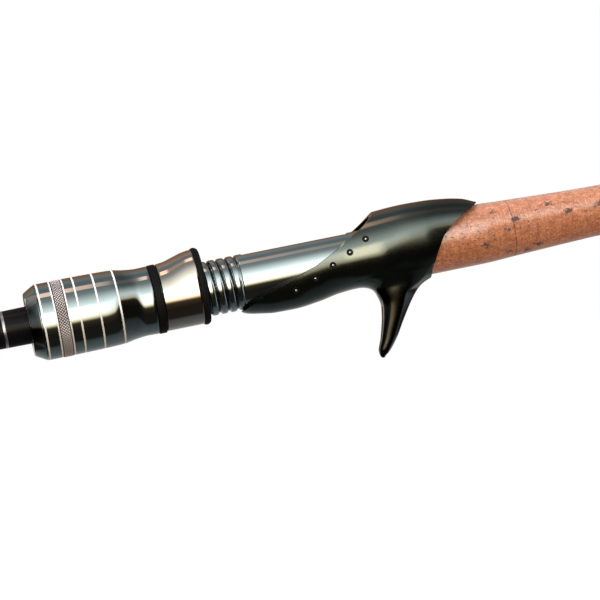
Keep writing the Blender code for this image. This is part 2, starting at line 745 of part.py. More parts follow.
def build_arbors():
    """Foam sleeves that centre the outer tube in the barrel's bore."""
    outer_r = BARREL_BORE_R - 0.2
    for name, (a0, a1), bore_r in (
        ("arbor_front", ARBOR_FRONT_AT, TUBE_R + 0.3),
        ("arbor_rear", ARBOR_REAR_AT, TUBE_R + 0.35),
    ):
        outer = [(st(a0), outer_r), (st(a1), outer_r)]
        add(name, tube(outer, [(st(a0), bore_r), (st(a1), bore_r)], 20), FOAM)


def cork_r(x):
    return float(curve(x, GRIP))


def build_grip():
    bore_r = TUBE_R + 0.3
    ends = (st(CORK_START), *SEAMS, CORK_END)
    for n, (x0, x1) in enumerate(zip(ends, ends[1:]), 1):
        steps = 2 if n == 1 else 3
        xs = [x0 + (x1 - x0) * i / steps for i in range(steps + 1)]
        middle = [(x, cork_r(x)) for x in (x0 + 0.3, *xs[1:-1], x1 - 0.3)]
        x0, x1 = x0 + 0.01, x1 - 0.01
        outer = [(x0, cork_r(x0) - 0.12), *middle, (x1, cork_r(x1) - 0.12)]
        add(f"cork_section_{n}", tube(outer, [(x0, bore_r), (x1, bore_r)]), CORK)


def build_butt():
    r0, r1 = BUTT_RING_AT
    ring_r, bore_r = BUTT_R - 0.05, TUBE_R + 0.4
    outer = [(r0, ring_r - 0.25), (r0 + 0.3, ring_r), (r1 - 0.3, ring_r), (r1, ring_r - 0.25)]
    add("butt_trim_ring", tube(outer, [(r0, bore_r), (r1, bore_r)]), POLISHED)
    front, socket_r = r1 + 0.2, TUBE_R + 0.5
    cap = [(TUBE_BACK_X + 0.4, socket_r), (front, socket_r), (front, BUTT_R - 0.3)]
    cap += [(front + 0.4, BUTT_R), (-4.0, BUTT_R + 0.2), (-1.5, BUTT_R - 0.2)]
    cap += [(-0.4, BUTT_R - 1.1), (0.0, BUTT_R - 2.2)]
    add("butt_cap", turned(cap, SEG, False), RUBBER)


build_tubes()
build_ferrule()
build_wrap()
build_nut()
hood()
barrel()
seat_body()
studs()
build_arbors()
build_grip()
build_butt()
for item in GUIDES:
    guide(*item)
tip_top()

# One empty per moving body, on the rod's axis, which all the slides and the nut's turn share.
BODIES = {
    "hood_slider": ("hood_shell", "hood_rim"),
    "locking_nut": ("nut_collar", "nut_shell", "knurled_band", "thread_insert", "nut_seal_ring"),
    "slider_2": ("section_2", "guide_2_frame", "guide_2_ring"),
    "slider_3": ("section_3", "guide_3_frame", "guide_3_ring"),
    "slider_4": ("section_4", "guide_4_frame", "guide_4_ring"),
    "slider_5": ("section_5", "tip_top_frame", "tip_top_ring"),
}
placed = {name for names in BODIES.values() for name in names}
BODIES["handle"] = tuple(o.name for o in bpy.data.objects if o.name not in placed)
PARENTS = {
    "hood_slider": "handle",
    "locking_nut": "hood_slider",
    "slider_2": "handle",
    "slider_3": "slider_2",
    "slider_4": "slider_3",
    "slider_5": "slider_4",
}
for body, names in BODIES.items():
    empty = bpy.data.objects.new(body, None)
    bpy.context.scene.collection.objects.link(empty)
    for name in names:
        bpy.data.objects[name].parent = empty
for child, parent in PARENTS.items():
    bpy.data.objects[child].parent = bpy.data.objects[parent]
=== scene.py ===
import math
from functools import reduce

import bmesh
import bpy
import numpy as np
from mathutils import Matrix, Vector


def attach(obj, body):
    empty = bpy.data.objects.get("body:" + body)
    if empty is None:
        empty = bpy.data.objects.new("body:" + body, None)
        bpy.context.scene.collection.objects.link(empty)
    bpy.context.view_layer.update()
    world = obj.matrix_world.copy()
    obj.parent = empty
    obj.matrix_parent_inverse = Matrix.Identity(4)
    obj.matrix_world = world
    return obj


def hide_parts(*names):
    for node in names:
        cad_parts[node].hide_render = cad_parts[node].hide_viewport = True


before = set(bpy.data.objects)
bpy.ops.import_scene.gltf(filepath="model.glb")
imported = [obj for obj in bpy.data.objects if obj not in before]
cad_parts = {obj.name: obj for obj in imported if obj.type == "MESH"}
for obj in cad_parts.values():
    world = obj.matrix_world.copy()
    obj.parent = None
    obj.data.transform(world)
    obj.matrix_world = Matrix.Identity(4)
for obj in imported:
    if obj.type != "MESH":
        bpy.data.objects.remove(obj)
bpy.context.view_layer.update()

# ---------------------------------------------------------------- dimensions in mm, as in the CAD
NUT_RING_X = -334.8  # the nut's front ring: a station is a distance from it towards the butt
BARREL_R = 9.85
BORE_R = 10.15  # the bore of what slides on the barrel
PITCH = 3.3
TAU = 2 * math.pi


def st(a):
    """The X of station a."""
    return NUT_RING_X + a


# ---------------------------------------------------------------- camera
def place_camera():
    eye = Vector((-372.0, -900.0, -2.0)) * 1e-3
    target = Vector((-243.5, 0.0, -10.4)) * 1e-3
    roll = math.radians(11.42)
    look = (target - eye).normalized()
    right = look.cross(Vector((0, 0, 1))).normalized()
    up = right.cross(look)
    x_axis = right * math.cos(roll) - up * math.sin(roll)
    y_axis = right * math.sin(roll) + up * math.cos(roll)
    data = bpy.data.cameras.new("camera")
    data.lens, data.sensor_width = 152.8, 36.0
    data.clip_start, data.clip_end = 0.01, 100.0
    camera = bpy.data.objects.new("camera", data)
    bpy.context.scene.collection.objects.link(camera)
    matrix = camera.matrix_world.copy()
    for i in range(3):
        matrix[i] = (x_axis[i], y_axis[i], -look[i], eye[i])
    camera.matrix_world = matrix
    bpy.context.scene.camera = camera


# ---------------------------------------------------------------- shader helpers
class Tree:
    """A node tree, with short names for what is used most. A value may be another node's socket."""

    def __init__(self, tree):
        self.nodes, self.links = tree.nodes, tree.links

    def plug(self, value, socket):
        if isinstance(value, bpy.types.NodeSocket):
            self.links.new(value, socket)
        elif value is not None:
            socket.default_value = value

    def node(self, kind, inputs=None, **props):
        made = self.nodes.new("ShaderNode" + kind)
        for key, value in props.items():
            setattr(made, key, value)
        for key, value in (inputs or {}).items():
            self.plug(value, made.inputs[key])
        return made

    def math(self, op, a, b=None):
        return self.node("Math", {0: a, 1: b}, operation=op).outputs[0]

    def times(self, a, b):
        return self.math("MULTIPLY", a, b)

    def split(self, vector):
        return self.node("SeparateXYZ", {0: vector}).outputs

    def span(self, value, low, high, out_low=0.0, out_high=1.0, kind="LINEAR"):
        """Maps low..high to out_low..out_high, and is flat beyond them."""
        inputs = {"Value": value, "From Min": low, "From Max": high, "To Min": out_low, "To Max": out_high}
        return self.node("MapRange", inputs, interpolation_type=kind).outputs[0]

    def ramp(self, value, stops):
        made = self.node("ValToRGB", {0: value})
        points = made.color_ramp.elements
        while len(points) < len(stops):
            points.new(0.5)
        for point, (at, colour) in zip(points, stops):
            point.position = at
            point.color = (*colour, 1)
        return made.outputs[0]

    def mix(self, factor, a, b, kind="MIX"):
        return self.node("Mix", {0: factor, 6: a, 7: b}, data_type="RGBA", blend_type=kind).outputs[2]


class Graph(Tree):
    """A material. Its shader's inputs are named with _ for each space."""

    def __init__(self, name):
        self.mat = bpy.data.materials.new(name)
        self.mat.use_nodes = True
        super().__init__(self.mat.node_tree)
        self.shader = self.nodes["Principled BSDF"]

    def set(self, **values):
        for key, value in values.items():
            self.plug(value, self.shader.inputs[key.replace("_", " ")])
        return self

    def out(self, **values):
        return self.set(**values).mat

    def scaled(self, vector, scale):
        return self.node("VectorMath", {0: vector, 1: scale}, operation="MULTIPLY").outputs[0]

    def coord(self):
        """Object coordinates in millimetres."""
        return self.scaled(self.node("TexCoord").outputs["Object"], (1000, 1000, 1000))

    def turned(self, across=1.0):
        """(x, angle times across, radius) in millimetres: grain that runs round a turned piece."""
        x, y, z = self.split(self.coord())
        angle = self.math("ARCTAN2", z, y)
        radius = self.math("SQRT", self.math("ADD", self.times(y, y), self.times(z, z)))
        return self.node("CombineXYZ", {0: x, 1: self.times(angle, across), 2: radius}).outputs[0]

    def noise(self, vector, scale, detail=3.0, rough=0.5, output=0):
        inputs = {"Vector": vector, "Scale": scale, "Detail": detail, "Roughness": rough}
        return self.node("TexNoise", inputs).outputs[output]

    def grain(self, vector, scale, detail=3.0, rough=0.5):
        """Noise with a scale of its own along each axis."""
        return self.noise(self.scaled(vector, scale), 1.0, detail, rough)

    def voronoi(self, vector, scale, output="Distance", **props):
        return self.node("TexVoronoi", {"Vector": vector, "Scale": scale}, **props).outputs[output]

    def bump(self, height, distance_mm):
        inputs = {"Height": height, "Distance": distance_mm * 1e-3, "Strength": 1.0}
        return self.node("Bump", inputs).outputs[0]


# ---------------------------------------------------------------- materials
def polished(name, colour, rough, lines=0.0012):
    """Polished metal with faint turning lines round the axis and a few hazy wipe marks."""
    g = Graph(name).set(Metallic=1.0)
    fine = g.grain(g.turned(0.35), (9.0, 0.5, 0.3), 2.0)
    haze = g.grain(g.coord(), (0.12, 0.2, 0.2))
    tone = g.mix(g.span(haze, 0.3, 0.7), (*[c * 0.93 for c in colour], 1), (*colour, 1))
    roughness = g.span(haze, 0.35, 0.75, rough * 0.8, rough * 1.35)
    return g.out(Base_Color=tone, Roughness=roughness, Normal=g.bump(fine, lines))


def machined_line():
    g = Graph("machined_line").set(Metallic=0.35, Roughness=0.4)
    fine = g.grain(g.turned(0.3), (24.0, 0.6, 0.5), 2.0)
    tone = g.ramp(fine, ((0.3, (0.80, 0.79, 0.76)), (0.7, (0.97, 0.96, 0.93))))
    return g.out(Base_Color=tone, Normal=g.bump(fine, 0.01))


def knurl_metal():
    """Satin aluminium, bright on the knurl's points, with painted shade near black in the hollows between
    them.
    """
    g = Graph("knurl_metal").set(Metallic=0.62, Roughness=0.3)
    grit = g.noise(g.coord(), 5.0)
    bright = g.ramp(grit, ((0.3, (0.90, 0.82, 0.80)), (0.7, (1.0, 0.96, 0.95))))
    on_point = g.span(g.split(g.turned())[2], 13.53, 13.66)
    # painted shade: near black between the points
    return g.out(Base_Color=g.mix(on_point, (0.05, 0.035, 0.03, 1), bright), Normal=g.bump(grit, 0.02))


# Near-black metal, used only as painted shade at the bottom of the barrel's thread groove.
def black_anodised():
    g = Graph("black_anodised").set(Metallic=0.6, Coat_Weight=0.5, Coat_Roughness=0.08)
    fine = g.grain(g.turned(0.4), (14.0, 0.8, 0.5), 2.0)
    tone = g.ramp(fine, ((0.3, (0.006, 0.006, 0.007)), (0.8, (0.014, 0.014, 0.015))))
    return g.out(Base_Color=tone, Roughness=g.span(fine, 0.3, 0.7, 0.2, 0.32), Normal=g.bump(fine, 0.003))


# Near-black matt material, used as painted shade: it darkens the studs' shallow cups and the narrow rim
# beside the barrel.
def painted_shade_black():
    g = Graph("painted_shade_black").set(Roughness=0.45, Specular_IOR_Level=0.15)
    return g.out(Base_Color=g.ramp(g.noise(g.coord(), 6.0, 2.0), ((0.3, (0.002,) * 3), (0.7, (0.006,) * 3))))


def rubber_black():
    g = Graph("rubber_black").set(Specular_IOR_Level=0.12)
    grain = g.noise(g.coord(), 7.0, 4.0, 0.6)
    tone = g.ramp(grain, ((0.3, (0.002, 0.002, 0.0025)), (0.7, (0.006, 0.006, 0.006))))
    return g.out(Base_Color=tone, Roughness=g.span(grain, 0.3, 0.7, 0.45, 0.62), Normal=g.bump(grain, 0.02))


def seat_paint():
    """Dark green metallic flake under clear lacquer, with a painted shade down the trigger: dark brown and
    with less lacquer.
    """
    g = Graph("seat_paint").set(Coat_Roughness=0.03, Coat_IOR=1.5, Metallic=1.0)
    at = g.coord()
    # 1 on the body and 0 down the trigger, which gets a painted shade
    above_trigger_shade = g.span(g.split(at)[2], -17.0, -12.0)
    spark = g.split(g.voronoi(at, 6.5, "Color"))[0]
    cloud = g.span(g.noise(at, 0.05, 2.0), 0.35, 0.65)
    deep = g.mix(cloud, (0.112, 0.142, 0.128, 1), (0.134, 0.162, 0.142, 1))
    tone = g.mix(g.span(spark, 0.7, 1.0, 0.0, 0.5), deep, (0.24, 0.23, 0.18, 1))
    # painted shade: the trigger is dark brown
    tone = g.mix(above_trigger_shade, (0.048, 0.042, 0.032, 1), tone)
    # painted shade: less lacquer down the trigger, so that it reflects less
    lacquer = g.span(above_trigger_shade, 0.0, 1.0, 0.35, 1.0)
    return g.out(Base_Color=tone, Coat_Weight=lacquer, Roughness=g.span(spark, 0.0, 1.0, 0.13, 0.19))


def blank_lacquer():
    g = Graph("blank_lacquer").set(Coat_Weight=0.12, Coat_Roughness=0.03)
    g.set(Roughness=0.35, Specular_IOR_Level=0.1)
    weave = g.grain(g.turned(0.5), (0.6, 3.0, 0.5))
    tone = g.ramp(weave, ((0.3, (0.0015, 0.0015, 0.002)), (0.8, (0.005, 0.005, 0.007))))
    return g.out(Base_Color=tone, Normal=g.bump(weave, 0.004))


def wound(g, two_turns):
    """0 between the turns of a wound thread and 1 on each; two_turns is the length of two, in mm."""
    return g.math("ABSOLUTE", g.math("SINE", g.times(g.split(g.coord())[0], TAU / two_turns)))


def wrap_thread():
    """Thread under epoxy."""
    g = Graph("wrap_thread").set(Coat_Weight=0.10, Coat_Roughness=0.035)
    g.set(Roughness=0.4, Specular_IOR_Level=0.1)
    thread = wound(g, 0.5)
    # painted shade: darker in the gaps between the turns
    tone = g.ramp(thread, ((0.0, (0.001, 0.001, 0.0015)), (1.0, (0.005, 0.005, 0.007))))
    return g.out(Base_Color=tone, Normal=g.bump(thread, 0.02))


def silver_thread():
    g = Graph("silver_thread").set(Metallic=1.0, Coat_Weight=0.8, Coat_Roughness=0.05)
    thread = wound(g, 0.44)
    # painted shade: darker in the gaps between the turns
    tone = g.ramp(thread, ((0.0, (0.35, 0.35, 0.36)), (0.6, (0.86, 0.86, 0.88))))
    return g.out(Base_Color=tone, Roughness=g.span(thread, 0, 1, 0.4, 0.25), Normal=g.bump(thread, 0.03))


def cork_varnished():
    """Dense cork under varnish, with dark pits and a scatter of dark flecks."""
    g = Graph("cork_varnished").set(Coat_Roughness=0.05, Coat_IOR=2.4, Sheen_Weight=0.25, Sheen_Roughness=0.4)
    at = g.coord()
    cell = g.voronoi(g.scaled(at, (1.1, 1.6, 1.6)), 1.0, feature="DISTANCE_TO_EDGE")
    mottled = g.grain(at, (0.4, 0.8, 0.8), 6.0, 0.7)
    grain = g.grain(at, (1.5, 2.0, 2.0), 4.0, 0.75)
    scratch = g.grain(g.turned(9.0), (2.6, 0.14, 0.3), 3.0, 0.6)
    wobble = g.noise(at, 0.9, 5.0, 0.75, "Color")

    def blots(scale, wander, low, high):
        """1 in scattered blots with ragged edges, 0 between them."""
        shift = g.scaled(wobble, (wander,) * 3)
        moved = g.node("VectorMath", {0: g.scaled(at, scale), 1: shift}, operation="ADD").outputs[0]
        return g.span(g.voronoi(moved, 1.0), low, high, 1.0, 0.0)

    pits = blots((0.12, 0.19, 0.19), 1.0, 0.15, 0.21)
    clusters = g.span(g.noise(at, 0.13, 2.0), 0.46, 0.54)
    dark = g.math("MAXIMUM", pits, g.times(blots((0.5, 0.85, 0.85), 1.2, 0.14, 0.22), clusters))
    browns = (
        (0.28, (0.27, 0.080, 0.026)), (0.42, (0.43, 0.145, 0.054)),
        (0.55, (0.55, 0.205, 0.082)), (0.72, (0.69, 0.30, 0.14)),
    )
    tone = g.ramp(mottled, browns)
    for share, colour in (
        (g.span(grain, 0.51, 0.36, 0.0, 0.85), (0.22, 0.072, 0.028)),
        (g.span(grain, 0.54, 0.68, 0.0, 0.5), (0.85, 0.45, 0.27)),
        (g.span(scratch, 0.53, 0.64, 0.0, 0.7), (0.27, 0.09, 0.04)),
        (g.span(cell, 0.0, 0.07, 0.4, 0.0), (0.24, 0.08, 0.035)),
        (g.times(dark, 0.92), (0.05, 0.024, 0.018)),
    ):
        tone = g.mix(share, tone, (*colour, 1))
    height = g.math("SUBTRACT", g.math("ADD", g.times(mottled, 0.2), g.times(grain, 0.15)), dark)
    return g.out(
        Base_Color=tone,
        Coat_Weight=g.span(dark, 0.0, 0.6, 1.0, 0.1),
        Roughness=g.span(grain, 0.3, 0.7, 0.5, 0.7),
        Normal=g.bump(height, 0.12),
        Coat_Normal=g.bump(height, 0.06),
    )


def cork_seam():
    g = Graph("cork_seam").set(Roughness=0.7)
    glue = g.noise(g.coord(), 1.2)
    return g.out(Base_Color=g.ramp(glue, ((0.4, (0.02, 0.01, 0.007)), (0.7, (0.16, 0.065, 0.03)))))


def guide_black():
    """Black coated steel."""
    g = Graph("guide_black").set(Metallic=0.9, Coat_Weight=0.4, Coat_Roughness=0.1)
    cloud = g.noise(g.coord(), 1.5)
    tone = g.ramp(cloud, ((0.3, (0.055, 0.057, 0.06)), (0.7, (0.10, 0.10, 0.105))))
    return g.out(Base_Color=tone, Roughness=g.span(cloud, 0.3, 0.7, 0.2, 0.3), Normal=g.bump(cloud, 0.004))


def guide_ceramic():
    g = Graph("guide_ceramic").set(Coat_Weight=1.0, Coat_Roughness=0.02)
    cloud = g.noise(g.coord(), 3.0)
    tone = g.ramp(cloud, ((0.3, (0.03, 0.032, 0.036)), (0.7, (0.055, 0.058, 0.064))))
    return g.out(Base_Color=tone, Roughness=g.span(cloud, 0.3, 0.7, 0.12, 0.2))


def arbor_foam():
    g = Graph("arbor_foam").set(Roughness=0.7)
    bubbles = g.voronoi(g.coord(), 1.6)
    tone = g.ramp(bubbles, ((0.1, (0.10, 0.10, 0.11)), (0.6, (0.26, 0.26, 0.27))))
    return g.out(Base_Color=tone, Normal=g.bump(bubbles, 0.08))


MATS = {
    "nut": polished("gunmetal_polish", (0.50, 0.575, 0.57), 0.05),
    "barrel": polished("barrel_polish", (0.60, 0.68, 0.68), 0.06),
    "hood": polished("hood_polish", (0.76, 0.69, 0.60), 0.05, 0.0006),
    "trim": polished("trim_metal", (0.78, 0.78, 0.76), 0.16),
    "line": machined_line(),
    "knurl": knurl_metal(),
    "black": black_anodised(),
    "stud": painted_shade_black(),
    "rubber": rubber_black(),
    "paint": seat_paint(),
    "blank": blank_lacquer(),
    "wrap": wrap_thread(),
    "silver": silver_thread(),
    "cork": cork_varnished(),
    "seam": cork_seam(),
    "guide": guide_black(),
    "ceramic": guide_ceramic(),
    "foam": arbor_foam(),
}


# ---------------------------------------------------------------- mesh helpers (mm in, metres out)
def piece(name, mesh, mats, body, slot, *nodes, sharp=35.0):
    """Adds a mesh as a visible piece. mats names its material, or several by the faces' indices."""
    mesh.name = name
    mesh.shade_smooth()
    mesh.set_sharp_from_angle(angle=math.radians(sharp))
    for mat in (mats,) if isinstance(mats, str) else mats:
        mesh.materials.append(MATS[mat])
    obj = bpy.data.objects.new(name, mesh)
    bpy.context.scene.collection.objects.link(obj)
    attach(obj, body)
    if nodes:
        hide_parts(*nodes)


def mesh_of(points, faces):
    mesh = bpy.data.meshes.new("mesh")
    mesh.from_pydata([(x * 1e-3, y * 1e-3, z * 1e-3) for x, y, z in points], [], faces)
    bm = bmesh.new()
    bm.from_mesh(mesh)
    bmesh.ops.recalc_face_normals(bm, faces=bm.faces)
    if bm.calc_volume(signed=True) < 0:
        bmesh.ops.reverse_faces(bm, faces=bm.faces)
    bm.to_mesh(mesh)
    bm.free()
    return mesh


def circle(x, r, seg, z=0.0):
    return [(x, r * math.cos(TAU * i / seg), z + r * math.sin(TAU * i / seg)) for i in range(seg)]


def loft(loops, closed=True):
    """A solid through loops of points; closed joins the last loop to the first."""
    n, points, faces = len(loops[0]), [p for loop in loops for p in loop], []
    count = len(loops)
    for k in range(count if closed else count - 1):
        one, two = k * n, ((k + 1) % count) * n
        faces += [(one + i, one + (i + 1) % n, two + (i + 1) % n, two + i) for i in range(n)]
    if not closed:
        faces += [tuple(range(n)), tuple((count - 1) * n + i for i in range(n))]
    return mesh_of(points, faces)


def soften(profile, radius, steps=4):
    """Rounds each corner of a closed profile of (x, r) or (x, r, own radius) points."""
    out = []
    count = len(profile)
    for k in range(count):
        p = Vector(profile[k][:2])
        own = profile[k][2] if len(profile[k]) > 2 else radius
        a, b = Vector(profile[k - 1][:2]) - p, Vector(profile[(k + 1) % count][:2]) - p
        la, lb = a.length, b.length
        if la < 1e-6 or lb < 1e-6:
            continue
        a, b = a / la, b / lb
        angle = a.angle(b, math.pi)
        if own <= 0 or angle > math.radians(172):
            out.append(tuple(p))
            continue
        cut = min(own / math.tan(angle / 2), 0.45 * la, 0.45 * lb)
        start, end = p + a * cut, p + b * cut
        for i in range(steps + 1):
            t = i / steps
            out.append(tuple(start * (1 - t) ** 2 + p * 2 * t * (1 - t) + end * t * t))
    return out


def turn(profile, seg=128, z=0.0):
    """A closed profile of (x, r) points turned about the X direction at height z."""
    return loft([circle(x, r, seg, z) for x, r in profile])


def ring(outer, bore, radius=0.15, seg=128, steps=4):
    """A turned ring with soft corners between two rows of (x, r) points, both from the tip's side."""
    return turn(soften(list(outer) + list(reversed(bore)), radius, steps), seg)


def ease(t):
    t = min(1.0, max(0.0, t))
    return t * t * (3 - 2 * t)


def curve(at, knots):
    """A smooth curve through (station, value) knots that doesn't overshoot them; flat beyond its ends."""
    xs = np.array([k[0] for k in knots], float)
    ys = np.array([k[1] for k in knots], float)
    steps = np.diff(xs)
    slopes = np.diff(ys) / steps
    tangents = np.zeros(len(xs))
    for i in range(1, len(xs) - 1):
        if slopes[i - 1] * slopes[i] > 0:
            w1, w2 = 2 * steps[i] + steps[i - 1], steps[i] + 2 * steps[i - 1]
            tangents[i] = (w1 + w2) / (w1 / slopes[i - 1] + w2 / slopes[i])
    tangents[0], tangents[-1] = slopes[0], slopes[-1]
    x = np.clip(at, xs[0], xs[-1])
    i = np.clip(np.searchsorted(xs, x, side="right") - 1, 0, len(xs) - 2)
    h = steps[i]
    t = (x - xs[i]) / h
    return (
        ys[i] * (1 + 2 * t) * (1 - t) ** 2
        + tangents[i] * h * t * (1 - t) ** 2
        + ys[i + 1] * t * t * (3 - 2 * t)
        + tangents[i + 1] * h * t * t * (t - 1)
    )


# ---------------------------------------------------------------- implicit shapes
def blend_min(one, two, k):
    h = np.clip(0.5 + 0.5 * (two - one) / k, 0, 1)
    return two * (1 - h) + one * h - k * h * (1 - h)


def blend_max(one, two, k):
    return -blend_min(-one, -two, k)


def slopes_of(field, points, reach=1e-3):
    """The field's gradient at each point, from values a little to either side."""
    sides = [reach * np.eye(3)[i][:, None] for i in range(3)]
    rises = [field(*(points.T + side)) - field(*(points.T - side)) for side in sides]
    return np.stack([rise / (2 * reach) for rise in rises], axis=1)


def edge_points(field, start, axis, step, v0, v1):
    """Where the field is zero on each grid edge, found by closing in from both ends."""
    t0, t1 = np.zeros(len(start)), np.ones(len(start))
    for trial in range(7):
        t = t0 + (t1 - t0) * (v0 / (v0 - v1) if trial % 3 < 2 else 0.5)
        found = start.copy()
        found[:, axis] += t * step
        f = field(*found.T)
        same = (f < 0) == (v0 < 0)
        t0, v0 = np.where(same, t, t0), np.where(same, f, v0)
        t1, v1 = np.where(same, t1, t), np.where(same, v1, f)
    return found


def crossed_edges(field, lines, value, axis, step):
    """Where the surface crosses the grid's edges along one axis: the points, their unit slopes, the four
    cells round each edge with a mask of those inside the grid, and whether the quad keeps its order."""
    first, second = [slice(None)] * 3, [slice(None)] * 3
    first[axis], second[axis] = slice(0, -1), slice(1, None)
    v0, v1 = value[tuple(first)], value[tuple(second)]
    at = np.nonzero((v0 < 0) != (v1 < 0))
    start = np.stack([lines[i][at[i]] for i in range(3)], axis=1)
    found = edge_points(field, start, axis, step, v0[at], v1[at])
    slope = slopes_of(field, found)
    slope /= np.maximum(np.linalg.norm(slope, axis=1), 1e-9)[:, None]
    u, v = [i for i in range(3) if i != axis]
    around = []
    for du, dv in ((0, 0), (1, 0), (1, 1), (0, 1)):
        cell = list(at)
        cell[u], cell[v] = at[u] - du, at[v] - dv
        inside = reduce(np.logical_and, [(cell[i] >= 0) & (cell[i] < len(lines[i]) - 1) for i in (u, v)])
        around.append((cell, inside))
    return found, slope, around, (v0[at] < 0) == (axis != 1)


def crease_points(crossings, index, total):
    """The point in each cell that best lies on all the tangent planes met there."""
    count, middle = np.zeros(total), np.zeros((total, 3))
    squares, pull = np.zeros((total, 3, 3)), np.zeros((total, 3))
    for found, slope, around, _ in crossings:
        for cell, inside in around:
            which, p, n = index[tuple(c[inside] for c in cell)], found[inside], slope[inside]
            offset = (p * n).sum(axis=1)
            count += np.bincount(which, minlength=total)
            for i in range(3):
                middle[:, i] += np.bincount(which, p[:, i], total)
                pull[:, i] += np.bincount(which, n[:, i] * offset, total)
                for k in range(3):
                    squares[:, i, k] += np.bincount(which, n[:, i] * n[:, k], total)
    middle /= count[:, None]
    weight, axes = np.linalg.eigh(squares)
    # a direction that the planes hardly pin down keeps the middle of the crossings
    inverse = np.where(weight > 0.03 * weight[:, 2:], 1 / np.maximum(weight, 1e-12), 0)
    rest = pull - np.einsum("nij,nj->ni", squares, middle)
    return middle + np.einsum("nij,nj,nkj,nk->ni", axes, inverse, axes, rest)


def net_quads(crossings, index):
    """A quad round each crossed edge, through the points of its four cells."""
    quads = []
    for found, _, around, keeps_order in crossings:
        quad = np.full((len(found), 4), -1)
        for corner, (cell, inside) in enumerate(around):
            quad[inside, corner] = index[tuple(c[inside] for c in cell)]
        quad[~keeps_order] = quad[~keeps_order][:, ::-1]
        quads.append(quad[(quad >= 0).all(axis=1)])
    return np.concatenate(quads)


def surface_net(field, low, high, step):
    """(points, quads) of the field's zero surface: a point per cell that it crosses, with sharp creases."""
    lines = [np.arange(low[i], high[i] + step, step) for i in range(3)]
    shape = tuple(len(line) for line in lines)
    value = np.broadcast_to(field(*np.meshgrid(*lines, indexing="ij", sparse=True)), shape)
    crossings = [crossed_edges(field, lines, value, axis, step) for axis in range(3)]
    index = np.full([n - 1 for n in shape], -1)
    for _, _, around, _ in crossings:
        for cell, inside in around:
            index[tuple(c[inside] for c in cell)] = 0
    active = index == 0
    total = int(active.sum())
    index[active] = np.arange(total)
    points = crease_points(crossings, index, total)
    corner = np.stack([lines[i][c] for i, c in enumerate(np.nonzero(active))], axis=1)
    points = np.clip(points, corner - 0.05 * step, corner + 1.05 * step)
    for _ in range(2):  # settle each point onto the surface
        slope = slopes_of(field, points)
        move = -(field(*points.T) / np.maximum((slope**2).sum(axis=1), 1e-6))[:, None] * slope
        length = np.maximum(np.linalg.norm(move, axis=1), 1e-9)
        points = points + move * np.minimum(1, 0.5 * step / length)[:, None]
    return points, net_quads(crossings, index)


def net_mesh(field, low, high, step, shift=0.0):
    """The mesh of a field's zero surface, moved along X by shift."""
    points, quads = surface_net(field, low, high, step)
    return mesh_of([(x + shift, y, z) for x, y, z in points.tolist()], quads.tolist())


# ---------------------------------------------------------------- seat body
# the body's outlines, as (station, value): half its width, its top and underside, and where it is widest
HALF_WIDTH = (
    (69, 10.5), (80, 11.2), (92, 11.8), (108, 12.1), (124, 13.0), (138, 12.9), (150, 12.1), (163, 11.3),
)
TOP = (
    (69, 10.5), (90, 11.5), (108, 13.6), (121, 15.3), (134, 16.0), (142, 15.8), (150, 15.0),
    (156, 13.8), (160.5, 11.9), (163, 11.0),
)
UNDERSIDE = (
    (69, 9.6), (70, 10.6), (71.4, 11.3), (73.2, 11.8), (76, 12.3), (82, 13.1), (89, 13.2), (98, 12.3),
    (106, 10.9), (112, 10.5), (128, 11.6), (140, 11.4), (163, 11.2),
)
WIDEST = ((92, 0.2), (108, 1.2), (120, 1.6), (134, 3.0), (150, 3.0))
# the trigger's front, back and half thickness, as (depth below the axis, value)
TRIGGER_FRONT = (
    (8, 113.0), (11, 117.3), (14, 118.9), (18, 119.8), (22, 119.3), (26, 118.3), (30, 117.1),
    (34, 115.6), (36, 115.4),
)
TRIGGER_BACK = (
    (8, 146.0), (11, 140.0), (14, 134.9), (18, 131.3), (22, 128.5), (26, 125.9), (30, 123.4),
    (34, 120.3), (36, 118.3),
)
TRIGGER_HALF = ((8, 8.4), (14, 7.0), (20, 5.6), (28, 3.9), (34, 2.6), (36, 2.0))
TIP_START, TIP_LENGTH, TRIGGER_END = 33.6, 3.1, 36.65
TRIGGER_POWER = 2.4  # 2 would give an ellipse, and more a squarer section
# the crease down the trigger's back, and how far the facets beside it slant
SPINE = (
    (-2, 175), (2, 161), (4.9, 153.0), (7.2, 148.0), (9, 145.0), (10.5, 142.6), (12.3, 139.4),
    (15, 134.4), (18, 131.5), (22, 128.6), (26, 126.0), (30, 123.5), (36, 118.5),
)
SLANT = ((2, 0.95), (10.5, 0.9), (15, 0.82), (20, 0.62), (26, 0.5), (36, 0.45))
# the front edge, from the nose up to the mouth, as (station, height), and the rear edge as (height, station)
FRONT_EDGE = (
    (66.0, -12.2), (69.0, -10.9), (72.0, -9.4), (77.0, -6.9), (85.0, -4.1), (94.5, -1.0), (101.0, 1.9),
    (106.5, 4.6), (112.0, 7.8), (118.4, 11.5), (123.2, 15.6), (127.0, 21.0),
)
REAR_EDGE = (
    (-16.0, 139.0), (-10.6, 139.6), (-7.9, 140.0), (-4.5, 141.2), (-1.2, 142.9), (2.1, 145.0),
    (5.7, 149.3), (9.0, 155.2), (10.9, 159.4), (12.6, 163.0),
)
NOSE = 70.15  # the station where the nose is cut off
POCKET_FRONT, POCKET_REAR, POCKET_FLOOR, POCKET_WALL = 97.0, 133.0, 9.0, 1.35
SEAT_BORE_R = 8.5  # hidden: it runs into the barrel and the cork, so that both edges stay clean
# up to this station the rim beside the barrel is painted shade
SHADED_RIM_END = 107.0
STUDS = ((89.2, -6.8), (96.6, -4.0), (103.6, -0.6), (110.4, 2.7), (116.9, 6.3))  # (station, height)


